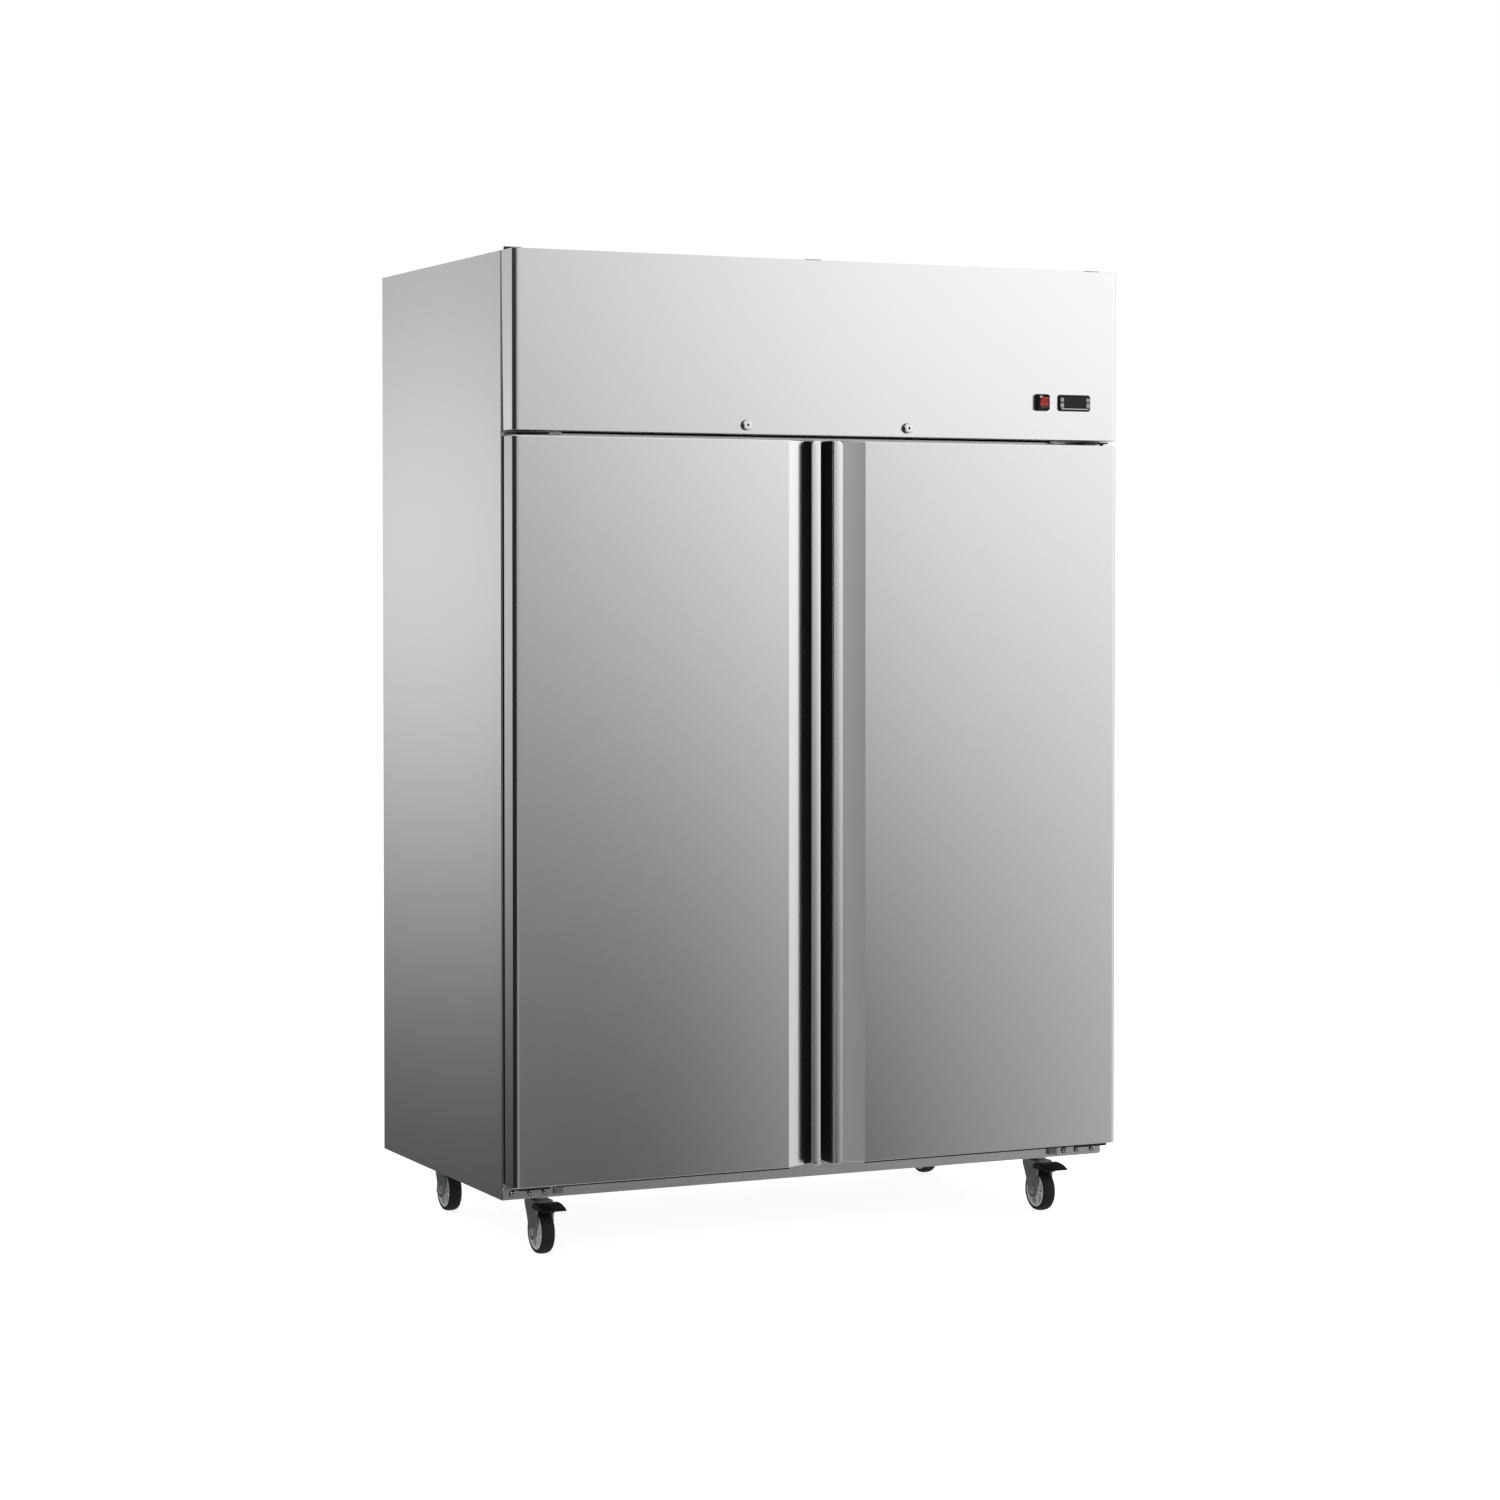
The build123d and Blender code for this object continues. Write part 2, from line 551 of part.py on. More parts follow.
def end_cap(z, slotted):
    """Sheet closing one end of the door, with the slot that the lock cam drops into."""
    depth = (FRONT_Y + SKIN, DOOR_BACK_Y - SKIN)
    x = (RECESS_OUTER, DOOR_OUTER - EDGE_RADIUS)
    cap = behind_recess(z)
    hole = rod("Z", (HINGE_X, HINGE_Y, z[0]), PIN_R + 1, 10)
    if not slotted:
        return cap + [block(x, depth, z) - hole]
    slot = (LOCK_X - SLOT_BEFORE, LOCK_X + SLOT_AFTER)
    cap.append(block((x[0], slot[0]), depth, z))
    cap.append(block((slot[1], x[1]), depth, z) - hole)
    cap.append(block(slot, (depth[0], SLOT_Y[0]), z))
    cap.append(block(slot, (SLOT_Y[1], depth[1]), z))
    return cap


def hinge_seat(z):
    x = (HINGE_X - SEAT_HALF, HINGE_X + SEAT_HALF)
    seat = block(x, (HINGE_Y - SEAT_HALF, HINGE_Y + SEAT_HALF), z)
    return seat - rod("Z", (HINGE_X, HINGE_Y, z[0]), PIN_R + RUNNING_CLEAR, 60)


def door_shell():
    tall = (DOOR_LOW, DOOR_HIGH)
    face_x = (RECESS_OUTER, DOOR_OUTER - EDGE_RADIUS)
    wall = DOOR_INNER + PULL_WALL
    face = block(face_x, (FRONT_Y, FRONT_Y + SKIN), tall)
    outer = Polyline((face_x[1], FRONT_Y), (face_x[1], DOOR_BACK_Y), (DOOR_OUTER, DOOR_BACK_Y),
                     (DOOR_OUTER, FRONT_Y), close=True)
    outer_post = upright(outer, tall)
    front_corner = (DOOR_OUTER, FRONT_Y, sum(tall) / 2)
    outer_edge = outer_post.edges().filter_by(Axis.Z).sort_by_distance(front_corner)[0]
    outer_post = fillet(outer_edge, EDGE_RADIUS - 0.01)
    inner_post = block((DOOR_INNER, wall), (FRONT_Y, DOOR_BACK_Y), tall)
    round_at = (DOOR_INNER + EDGE_RADIUS, FRONT_Y + EDGE_RADIUS, sum(tall) / 2)
    round_cut = rod("Z", round_at, EDGE_RADIUS, DOOR_HIGH)
    corner = block((DOOR_INNER, wall), (FRONT_Y, FRONT_Y + EDGE_RADIUS), tall)
    inner_post = inner_post - (corner - round_cut)
    floor = block((wall, RECESS_INNER), (RECESS_FLOOR_Y, RECESS_FLOOR_Y + SKIN), tall)
    slope = upright(Polyline((RECESS_INNER, RECESS_FLOOR_Y), (RECESS_OUTER, FRONT_Y),
                             (RECESS_OUTER, FRONT_Y + SKIN), (RECESS_INNER, RECESS_FLOOR_Y + SKIN),
                             close=True), tall)
    shell = [face, outer_post, inner_post, pull_lip(), floor, slope]
    shell += end_cap((DOOR_HIGH - SKIN, DOOR_HIGH), True) + end_cap((DOOR_LOW, DOOR_LOW + SKIN), False)
    shell.append(hinge_seat((CORE_HIGH + 1, DOOR_HIGH - SKIN)))
    shell.append(hinge_seat((DOOR_LOW + SKIN, CORE_LOW - 0.5)))
    return shell


def door_core():
    z = (CORE_LOW, CORE_HIGH)
    x = (RECESS_OUTER, DOOR_OUTER - EDGE_RADIUS)
    return [block(x, (FRONT_Y + SKIN, DOOR_BACK_Y - SKIN), z)] + behind_recess(z)


def door_liner():
    plate_x = (DOOR_INNER + PULL_WALL, DOOR_OUTER - EDGE_RADIUS)
    plate = block(plate_x, (DOOR_BACK_Y - SKIN, DOOR_BACK_Y), (DOOR_LOW, DOOR_HIGH))
    inset = GASKET_WIDE + DIKE_INSET
    dike_x = (GASKET_INNER + inset, GASKET_OUTER - inset)
    dike_z = (DOOR_LOW + GASKET_INSET + inset, DOOR_HIGH - GASKET_INSET - inset)
    dike = block(dike_x, (DOOR_BACK_Y, DOOR_BACK_Y + DIKE_THICK), dike_z)
    return [plate, chamfer(dike.faces().sort_by(Axis.Y)[-1].edges(), DIKE_THICK - 2)]


def door_gasket():
    y = (DOOR_BACK_Y, -GASKET_CLEAR)
    x0, x1 = GASKET_INNER, GASKET_OUTER
    z0, z1 = DOOR_LOW + GASKET_INSET, DOOR_HIGH - GASKET_INSET
    w = GASKET_WIDE
    return [block((x0, x0 + w), y, (z0, z1)), block((x1 - w, x1), y, (z0, z1)),
            block((x0 + w, x1 - w), y, (z0, z0 + w)), block((x0 + w, x1 - w), y, (z1 - w, z1))]


def make_doors():
    parts = {"shell": door_shell(), "core": door_core(), "liner": door_liner(), "gasket": door_gasket()}
    for name, shapes in parts.items():
        place(f"door_right_{name}", shapes)
        place(f"door_left_{name}", [mirror(shape, about=Plane.YZ) for shape in shapes])


# ---- hinge brackets ------------------------------------------------------------------------
def make_hinge_brackets():
    flange_y = (FRONT_Y + 2, 0)
    plate_x = (PLATE_INNER, HALF - 2)
    top_z = (TOP_PLATE_Z, TOP_PLATE_Z + BRACKET_THICK)
    top = block((ARM_INNER, HALF - 2), flange_y, top_z)
    top += block(plate_x, (-TOP_FLANGE_DEEP, 0), top_z)
    top += rod("Z", (HINGE_X, HINGE_Y, TOP_PLATE_Z - PIN_LONG / 2), PIN_R, PIN_LONG)
    tab = block(plate_x, (-BRACKET_THICK, 0), (top_z[1], top_z[1] + TOP_TAB_HIGH))
    low_z = (LOW_FLANGE_Z, LOW_FLANGE_Z + BRACKET_THICK)
    low = block((ARM_INNER, HALF), flange_y, low_z)
    low += rod("Z", (HINGE_X, HINGE_Y, low_z[1] + PIN_LONG / 2 - 1), PIN_R, PIN_LONG)
    drop = block((BRACKET_INNER, HALF), (-BRACKET_THICK, 0), (DROP_LOW, LOW_FLANGE_Z))
    shim_y = (-BRACKET_THICK - SHIM_PROUD, 0)
    shim = block((BRACKET_INNER - SHIM_WIDE, BRACKET_INNER), shim_y, (SHIM_LOW, low_z[1]))
    brackets = both_sides([top, tab, low, drop, shim])
    for x in LEAF_SPOTS:
        leaf_z = (BODY_TOP, BODY_TOP + LEAF_THICK)
        brackets.append(block((x - LEAF_WIDE / 2, x + LEAF_WIDE / 2), (KNUCKLE_R + 1, LEAF_LONG), leaf_z)
                        + block((x - LEAF_WIDE / 6, x + LEAF_WIDE / 6), (0, KNUCKLE_R + 1), leaf_z)
                        + rod("X", (x, 0, LIFT_AXIS_Z), KNUCKLE_R, LEAF_WIDE / 3)
                        + rod("X", (x, 0, LIFT_AXIS_Z), LEAF_PIN_R, LEAF_WIDE))
    place("hinge_brackets", brackets)

    bolt_y = -BRACKET_THICK - BOLT_HEAD_HIGH / 2
    bolts = both_sides([rod("Y", (x, bolt_y, BOLT_Z), BOLT_HEAD_R, BOLT_HEAD_HIGH) for x in BOLT_SPOTS])
    hexagon = extrude(RegularPolygon(6.5, 6), 2.5, both=True)
    hex_z = BODY_LOW - CASTER_PLATE - 2.5
    for y in (CASTER_FRONT_Y, CASTER_BACK_Y):
        for i in (-1, 1):
            for j in (-1, 1):
                spot = (CASTER_X + i * (PLATE_X / 2 - 10), y + j * (PLATE_Y / 2 - 10), hex_z)
                bolts += both_sides([Pos(*spot) * hexagon])
    place("bracket_bolts", bolts)


# ---- front panel ---------------------------------------------------------------------------
def make_front_panel():
    x = (-DOOR_OUTER, DOOR_OUTER)
    face = block(x, (FRONT_Y, FRONT_Y + SHEET), (PANEL_LOW, BODY_TOP))
    upright_edges = face.edges().filter_by(Axis.Z).group_by(Axis.Y)[0]
    face = chamfer(upright_edges, SHEET * 0.6)
    for side in (-1, 1):
        face -= rod("Y", (side * LOCK_X, FRONT_Y, LOCK_Z), LOCK_BODY_R, 20)
    face -= Pos(SWITCH_X, FRONT_Y, CONTROL_Z) * Box(SWITCH_WIDE - CUTOUT_EDGE, 20, SWITCH_HIGH - CUTOUT_EDGE)
    face -= Pos(CASE_X, FRONT_Y, CONTROL_Z) * Box(CASE_WIDE - CUTOUT_EDGE, 20, CASE_HIGH - CUTOUT_EDGE)

    y = FRONT_Y + SHEET
    side_return = side_profile([(y, PANEL_LOW), (-PANEL_GAP_LOW, PANEL_LOW),
                                (-PANEL_GAP_TOP, BODY_TOP), (y, BODY_TOP)],
                               (DOOR_OUTER - SHEET, DOOR_OUTER))
    inner = DOOR_OUTER - SHEET
    top = block((-inner, inner), (y, -PANEL_GAP_TOP - 1), (BODY_TOP - SHEET, BODY_TOP))
    slot = (LOCK_X - SLOT_BEFORE, LOCK_X + SLOT_AFTER)
    low_z = (PANEL_LOW, PANEL_LOW + SHEET)
    low_back = -PANEL_GAP_LOW - 1
    low = both_sides([block((slot[1], inner), (y, low_back), low_z),
                      block(slot, (y, SLOT_Y[0]), low_z), block(slot, (SLOT_Y[1], low_back), low_z)])
    low.append(block((-slot[0], slot[0]), (y, low_back), low_z))
    place("front_panel", [face, top] + both_sides([side_return]) + low)

    leaves = []
    for x in LEAF_SPOTS:
        wide = (x - LEAF_WIDE / 2, x + LEAF_WIDE / 2)
        leaf_z = (BODY_TOP, BODY_TOP + LEAF_THICK)
        leaf = block(wide, (-LEAF_LONG, -KNUCKLE_R - 1), leaf_z)
        for side in (-1, 1):
            barrel_x = x + side * LEAF_WIDE / 3
            half = LEAF_WIDE / 6 - LEAF_CLEAR
            narrow = (barrel_x - half, barrel_x + half)
            leaf += block(narrow, (-KNUCKLE_R - 1, -1), leaf_z)
            leaf += rod("X", (barrel_x, 0, LIFT_AXIS_Z), KNUCKLE_R, 2 * half)
        leaves.append(leaf - rod("X", (x, 0, LIFT_AXIS_Z), LEAF_PIN_R + RUNNING_CLEAR, LEAF_WIDE))
    place("panel_hinge_leaves", leaves)


def make_locks():
    front = FRONT_Y - LOCK_PROUD
    barrels = []
    for side, name in ((-1, "left"), (1, "right")):
        x = side * LOCK_X
        flange = rod("Y", (x, front + LOCK_PROUD / 2, LOCK_Z), LOCK_FLANGE_R, LOCK_PROUD)
        flange = chamfer(flange.edges().group_by(Axis.Y)[0], 1.2)
        body_long = CAM_Y - 1 - FRONT_Y
        body = rod("Y", (x, FRONT_Y + body_long / 2, LOCK_Z), LOCK_BODY_R, body_long)
        barrels.append(flange + body - rod("Y", (x, front, LOCK_Z), LOCK_PLUG_R + RUNNING_CLEAR, 200))
        plug_long = CAM_Y - (front - 0.8)
        plug = rod("Y", (x, CAM_Y - plug_long / 2, LOCK_Z), LOCK_PLUG_R, plug_long)
        plug -= Pos(x, front, LOCK_Z) * Box(1.6, 12, 8)
        reach = sorted((x - side * CAM_WIDE / 2, x + side * CAM_REACH))
        cam = block(reach, (CAM_Y, CAM_Y + CAM_THICK), (LOCK_Z - CAM_WIDE / 2, LOCK_Z + CAM_WIDE / 2))
        cam = fillet(cam.edges().filter_by(Axis.Y), CAM_WIDE / 2 - 0.5)
        place(f"lock_plug_{name}", [plug + cam])
    place("lock_barrels", barrels)


# ---- controls ------------------------------------------------------------------------------
def make_switch():
    at = Pos(SWITCH_X, FRONT_Y, CONTROL_Z)
    base = RectangleRounded(SWITCH_WIDE, SWITCH_HIGH, 3)
    tip = RectangleRounded(SWITCH_WIDE - 4, SWITCH_HIGH - 4, 3)
    collar = loft([Plane.XY * base, Plane.XY.offset(SWITCH_PROUD) * tip])
    bezel = at * Rot(90, 0, 0) * collar
    tail = Box(SWITCH_WIDE - CUTOUT_EDGE, 2 * SWITCH_PROUD, SWITCH_HIGH - CUTOUT_EDGE)
    bezel += Pos(SWITCH_X, FRONT_Y + SWITCH_PROUD, CONTROL_Z) * tail
    pocket_deep = SWITCH_PROUD + 6
    pocket = Box(ROCKER_WIDE + 1.5, pocket_deep, ROCKER_HIGH + 3)
    bezel -= Pos(SWITCH_X, FRONT_Y - SWITCH_PROUD + pocket_deep / 2, CONTROL_Z) * pocket
    place("switch_bezel", [bezel])

    pivot_y = FRONT_Y - SWITCH_PROUD + 6
    half = ROCKER_HIGH / 2
    rocker = side_profile([(-9, -half), (-6.5, 0), (-9, half), (3, half * 0.62), (3, -half * 0.62)],
                          (-ROCKER_WIDE / 2, ROCKER_WIDE / 2))
    rocker = fillet(rocker.edges().filter_by(Axis.X).group_by(Axis.Y)[0], 1.2)
    place("power_rocker", [Pos(SWITCH_X, pivot_y, CONTROL_Z) * Rot(ROCKER_TILT, 0, 0) * rocker])


def make_controller():
    base = RectangleRounded(CASE_WIDE, CASE_HIGH, 4)
    face = RectangleRounded(CASE_WIDE - 3, CASE_HIGH - 3, 4)
    bezel = loft([Plane.XY * base, Plane.XY.offset(CASE_PROUD) * face])
    case = Pos(CASE_X, FRONT_Y, CONTROL_Z) * Rot(90, 0, 0) * bezel
    tail = Box(CASE_WIDE - CUTOUT_EDGE, CASE_DEEP, CASE_HIGH - CUTOUT_EDGE)
    case += Pos(CASE_X, FRONT_Y + CASE_DEEP / 2, CONTROL_Z) * tail
    front = FRONT_Y - CASE_PROUD
    well = KEY_TRAVEL + 1.5
    for column, side in zip(KEY_COLUMNS, ("left", "right")):
        for (row, high), level in zip(KEY_ROWS, ("top", "low")):
            x, z = CASE_X + column, CONTROL_Z + row
            case -= Pos(x, front + well / 2, z) * Box(KEY_WIDE + 2 * KEY_CLEAR, well, high + 2 * KEY_CLEAR)
            key_y = (front - KEY_PROUD, front + well - KEY_TRAVEL - KEY_CLEAR / 2)
            key = block((x - KEY_WIDE / 2, x + KEY_WIDE / 2), key_y, (z - high / 2, z + high / 2))
            key = fillet(key.edges().filter_by(Axis.Y), 1.2)
            place(f"key_{level}_{side}", [fillet(key.faces().sort_by(Axis.Y)[0].edges(), 0.4)])
    place("controller_case", [case])


# ---- casters -------------------------------------------------------------------------------
def caster_plate():
    plate_low = BODY_LOW - CASTER_PLATE
    plate = block((-PLATE_X / 2, PLATE_X / 2), (-PLATE_Y / 2, PLATE_Y / 2), (plate_low, BODY_LOW))
    plate = fillet(plate.edges().filter_by(Axis.Z), 8)
    race_low = FORK_TOP_Z + FORK_THICK + RACE_HIGH + LEAF_CLEAR
    race = rod("Z", (0, 0, (race_low + plate_low) / 2), RACE_R, plate_low - race_low)
    king = rod("Z", (0, 0, (KING_LOW + race_low) / 2), KING_R, race_low - KING_LOW)
    nut = Pos(0, 0, KING_LOW) * extrude(RegularPolygon(10, 6), FORK_TOP_Z - KING_LOW - LEAF_CLEAR)
    return plate + race + king + nut


def caster_fork():
    bore = rod("Z", (0, 0, FORK_TOP_Z), KING_R + RUNNING_CLEAR, 60)
    bridge_y = (FORK_FRONT, FORK_BACK)
    bridge = block((-LEG_X[1], LEG_X[1]), bridge_y, (FORK_TOP_Z, FORK_TOP_Z + FORK_THICK))
    bridge += rod("Z", (0, 0, FORK_TOP_Z + FORK_THICK + RACE_HIGH / 2), RACE_R - 1, RACE_HIGH)
    turns = [pi / 8 * k - pi / 2 for k in range(9)]
    toe = [(-TRAIL + TOE_R * sin(a), WHEEL_R - TOE_R * cos(a)) for a in turns]
    leg = side_profile([(bridge_y[0], FORK_TOP_Z)] + toe + [(bridge_y[1], FORK_TOP_Z)], LEG_X)
    leg -= rod("X", (0, -TRAIL, WHEEL_R), AXLE_R, 60)
    leg -= rod("X", (0, *PEDAL_PIVOT), PIVOT_R, 60)
    axle = rod("X", (0, -TRAIL, WHEEL_R), AXLE_R, 2 * LEG_X[1])
    heads = both_sides([rod("X", (LEG_X[1] + HEAD_HIGH / 2, -TRAIL, WHEEL_R), HEAD_R, HEAD_HIGH)])
    return [bridge - bore, axle] + both_sides([leg]) + heads


def brake_pedal():
    arm = side_profile([(-36, 95), (-36, 103), (-52, 107), (-58, 97), (-44, 94)],
                       (LEG_X[1] + 0.5, LEG_X[1] + 3.5))
    arm -= rod("X", (0, *PEDAL_PIVOT), PIVOT_R + RUNNING_CLEAR, 80)
    tread = side_profile([(-50, 103), (-50, 107), (-72, 105), (-97, 94), (-95, 90), (-72, 101)],
                         (-PEDAL_HALF, PEDAL_HALF))
    pad = side_profile([(-56, 85), (-56, 103), (-70, 102), (-70, 88)], (-PAD_HALF, PAD_HALF))
    return both_sides([arm]) + [tread + pad]


def caster_wheel():
    half = WHEEL_WIDE / 2
    bead = Polyline((-half, RIM_R), (half, RIM_R), (half, WHEEL_R - 4), (half - 5, WHEEL_R),
                    (-half + 5, WHEEL_R), (-half, WHEEL_R - 4), close=True)
    ring = revolve(make_face(bead), Axis.X)
    inner = Polyline((-half + 1, AXLE_R + RUNNING_CLEAR), (half - 1, AXLE_R + RUNNING_CLEAR),
                     (half - 1, 13), (4, 15), (4, 28), (half - 1, 31), (half - 1, RIM_R),
                     (-half + 1, RIM_R), (-half + 1, 31), (-4, 28), (-4, 15), (-half + 1, 13), close=True)
    hub = revolve(make_face(inner), Axis.X)
    return ring, hub


def make_casters():
    corners = {"front_left": (-CASTER_X, CASTER_FRONT_Y), "front_right": (CASTER_X, CASTER_FRONT_Y),
               "rear_left": (-CASTER_X, CASTER_BACK_Y), "rear_right": (CASTER_X, CASTER_BACK_Y)}
    plate, fork, pedal = caster_plate(), caster_fork(), brake_pedal()
    tyre, hub = caster_wheel()
    place("caster_plates", [Pos(x, y, 0) * plate for x, y in corners.values()])
    pivot_long = LEG_X[1] - LEG_X[0] + HEAD_HIGH
    pivot = both_sides([rod("X", (LEG_X[0] + pivot_long / 2, *PEDAL_PIVOT), PIVOT_R, pivot_long)])
    for corner, (x, y) in corners.items():
        at = Pos(x, y, 0)
        braked = corner.startswith("front")
        place(f"fork_{corner}", [at * shape for shape in fork + (pivot if braked else [])])
        wheel_at = Pos(x, y - TRAIL, WHEEL_R)
        place(f"tyre_{corner}", [wheel_at * tyre])
        place(f"wheel_hub_{corner}", [wheel_at * hub])
        if braked:
            place(f"brake_pedal_{corner}", [at * shape for shape in pedal])


def main():
    os.makedirs("parts", exist_ok=True)
    make_shell()
    make_front_frame()
    make_walls()
    make_shelves()
    make_shelf_supports()
    make_evaporator()
    make_compressor()
    make_condenser()
    make_pipes()
    make_electrics()
    make_doors()
    make_hinge_brackets()
    make_front_panel()
    make_locks()
    make_switch()
    make_controller()
    make_casters()


main()
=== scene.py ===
"""Studio scene of a two-door reach-in refrigerator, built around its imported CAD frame."""
from math import atan2, cos, degrees, pi, radians, sin, sqrt

import bmesh
import bpy
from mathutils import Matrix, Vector


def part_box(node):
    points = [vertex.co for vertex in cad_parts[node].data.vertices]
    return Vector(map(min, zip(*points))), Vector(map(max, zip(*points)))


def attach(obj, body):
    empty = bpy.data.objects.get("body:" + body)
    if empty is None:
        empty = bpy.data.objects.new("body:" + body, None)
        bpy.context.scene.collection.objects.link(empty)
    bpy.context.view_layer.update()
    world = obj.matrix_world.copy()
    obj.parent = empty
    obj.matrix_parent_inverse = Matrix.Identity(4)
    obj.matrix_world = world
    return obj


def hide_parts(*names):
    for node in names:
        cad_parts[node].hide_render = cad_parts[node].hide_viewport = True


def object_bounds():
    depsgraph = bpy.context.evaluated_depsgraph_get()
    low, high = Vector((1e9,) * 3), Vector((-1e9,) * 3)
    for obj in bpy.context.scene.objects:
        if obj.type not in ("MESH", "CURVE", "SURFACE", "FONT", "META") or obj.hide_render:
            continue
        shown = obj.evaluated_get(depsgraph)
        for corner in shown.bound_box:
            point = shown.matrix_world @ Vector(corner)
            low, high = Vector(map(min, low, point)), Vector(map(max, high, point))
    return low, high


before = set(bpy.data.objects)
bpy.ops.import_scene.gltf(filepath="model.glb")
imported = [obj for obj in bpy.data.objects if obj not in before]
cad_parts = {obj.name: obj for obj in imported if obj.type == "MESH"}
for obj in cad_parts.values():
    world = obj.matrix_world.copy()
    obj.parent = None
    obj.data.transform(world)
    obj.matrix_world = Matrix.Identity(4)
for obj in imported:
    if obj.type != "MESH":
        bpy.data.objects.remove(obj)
cad_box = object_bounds()
scene = bpy.context.scene
MM = 0.001


# ---- where things are ----
def low(node):
    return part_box(node)[0]


def high(node):
    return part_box(node)[1]


def middle(node):
    return (low(node) + high(node)) / 2


def side_sign(side):
    """-1 on the left, 1 on the right."""
    return 1 if side == "right" else -1


def caster_pivot(corner):
    """Plan position of a caster's upright pivot, a trail's length behind its wheel's middle."""
    wheel = middle(f"tyre_{corner}")
    return wheel.x, wheel.y + CASTER_TRAIL


FACE_Y = low("side_panel_left").y
BACK_Y = high("side_panel_left").y
FRONT_Y = low("door_right_shell").y
HALF = high("side_panel_right").x
DECK_Z = high("machine_deck").z
CASTER_TRAIL = 25 * MM


# ---- camera ----
# place in metres from the middle of the cabinet's front face at floor level; angles in degrees
CAMERA_PLACE = Vector((-3.1861, -6.5101, 1.3570))
CAMERA_DOWN = 1.3071
CAMERA_TURN = -25.0536
FOCAL_LENGTH = 84.44
FRAME_SHIFT = -0.06


def make_camera():
    data = bpy.data.cameras.new("camera")
    camera = bpy.data.objects.new("camera", data)
    scene.collection.objects.link(camera)
    camera.location = CAMERA_PLACE + Vector((0, FACE_Y, 0))
    camera.rotation_euler = (radians(90 - CAMERA_DOWN), 0, radians(CAMERA_TURN))
    data.lens = FOCAL_LENGTH
    data.sensor_width = 36
    data.shift_y = FRAME_SHIFT
    data.clip_end = 100
    scene.camera = camera


# ---- mesh building ----
AXES = {"X": (1, 2, 0), "Y": (2, 0, 1), "Z": (0, 1, 2)}


def spot(axis, a, b, along):
    """A point from two coordinates across an axis and one along it."""
    point = [0.0, 0.0, 0.0]
    first, second, main = AXES[axis]
    point[first], point[second], point[main] = a, b, along
    return Vector(point)


class Piece:
    """One mesh object, gathered from simple shapes."""

    def __init__(self, name):
        self.name = name
        self.bm = bmesh.new()

    def loft(self, rings, loop=False):
        """Join closed rings one after another, with end caps or back round to the first ring."""
        made = [[self.bm.verts.new(p) for p in ring] for ring in rings]
        count = len(made[0])
        pairs = list(zip(made, made[1:] + made[:1])) if loop else list(zip(made, made[1:]))
        for a, b in pairs:
            for i in range(count):
                j = (i + 1) % count
                self.bm.faces.new((a[i], a[j], b[j], b[i]))
        if not loop:
            self.bm.faces.new(made[0][::-1])
            self.bm.faces.new(made[-1])
        return self

    def box(self, lo, hi):
        x, y, z = zip(lo, hi)
        rings = [[(x[i], y[j], z[k]) for i, j in ((0, 0), (1, 0), (1, 1), (0, 1))] for k in (0, 1)]
        return self.loft(rings)

    def prism(self, outline, axis, span):
        return self.loft([[spot(axis, a, b, t) for a, b in outline] for t in span])

    def lathe(self, profile, axis, centre, steps=48):
        """Revolve (along, radius) points into a solid with flat ends."""
        first, second, main = AXES[axis]
        rings = [[spot(axis, a, b, centre[main] + along)
                  for a, b in polygon((centre[first], centre[second]), radius, steps)]
                 for along, radius in profile]
        return self.loft(rings)

    def ring_lathe(self, profile, axis, centre, steps=48):
        """Revolve a closed (along, radius) outline into a ring."""
        first, second, main = AXES[axis]
        rings = []
        for k in range(steps):
            angle = 2 * pi * k / steps
            rings.append([spot(axis, centre[first] + r * cos(angle), centre[second] + r * sin(angle),
                               centre[main] + along) for along, r in profile])
        return self.loft(rings, loop=True)

    def tube(self, points, radius, sides=8, closed=False):
        points = [Vector(p) for p in points]
        rings = []
        side = None
        for i, p in enumerate(points):
            before = points[i - 1] if i or closed else points[i]
            after = points[(i + 1) % len(points)] if i + 1 < len(points) or closed else points[i]
            ahead = (after - before).normalized()
            if side is None:
                side = ahead.orthogonal().normalized()
            side = (side - ahead * side.dot(ahead)).normalized()
            up = ahead.cross(side)
            rings.append([p + radius * (side * cos(2 * pi * k / sides) + up * sin(2 * pi * k / sides))
                          for k in range(sides)])
        return self.loft(rings, loop=closed)

    def mirrored(self):
        """Add the mirror image of everything so far across x = 0."""
        everything = self.bm.verts[:] + self.bm.edges[:] + self.bm.faces[:]
        copy = bmesh.ops.duplicate(self.bm, geom=everything)
        for element in copy["geom"]:
            if isinstance(element, bmesh.types.BMVert):
                element.co.x = -element.co.x
        return self

    def made(self):
        bmesh.ops.recalc_face_normals(self.bm, faces=self.bm.faces[:])
        mesh = bpy.data.meshes.new(self.name)
        self.bm.to_mesh(mesh)
        self.bm.free()
        obj = bpy.data.objects.new(self.name, mesh)
        scene.collection.objects.link(obj)
        return obj

    def done(self, material, body, replaced=(), bevel=0.0, smooth=35, slot=None):
        """Make the object, shade and round its edges, and attach it to its body."""
        obj = self.made()
        mesh = obj.data
        mesh.materials.append(material)
        for face in mesh.polygons:
            face.use_smooth = True
        mesh.set_sharp_from_angle(angle=radians(smooth))
        if bevel:
            round_edges(obj, bevel, smooth)
        if replaced:
            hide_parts(*replaced)
        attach(obj, body)
        return obj


def round_edges(obj, width, angle):
    """Bevel the edges that are sharper than an angle in degrees."""
    rounding = obj.modifiers.new("edges", "BEVEL")
    rounding.width = width
    rounding.segments = 2
    rounding.limit_method = "ANGLE"
    rounding.angle_limit = radians(angle)
    rounding.harden_normals = True


def mm(*points):
    """The same points with millimetres turned into metres."""
    return [tuple(value * MM for value in point) for point in points]


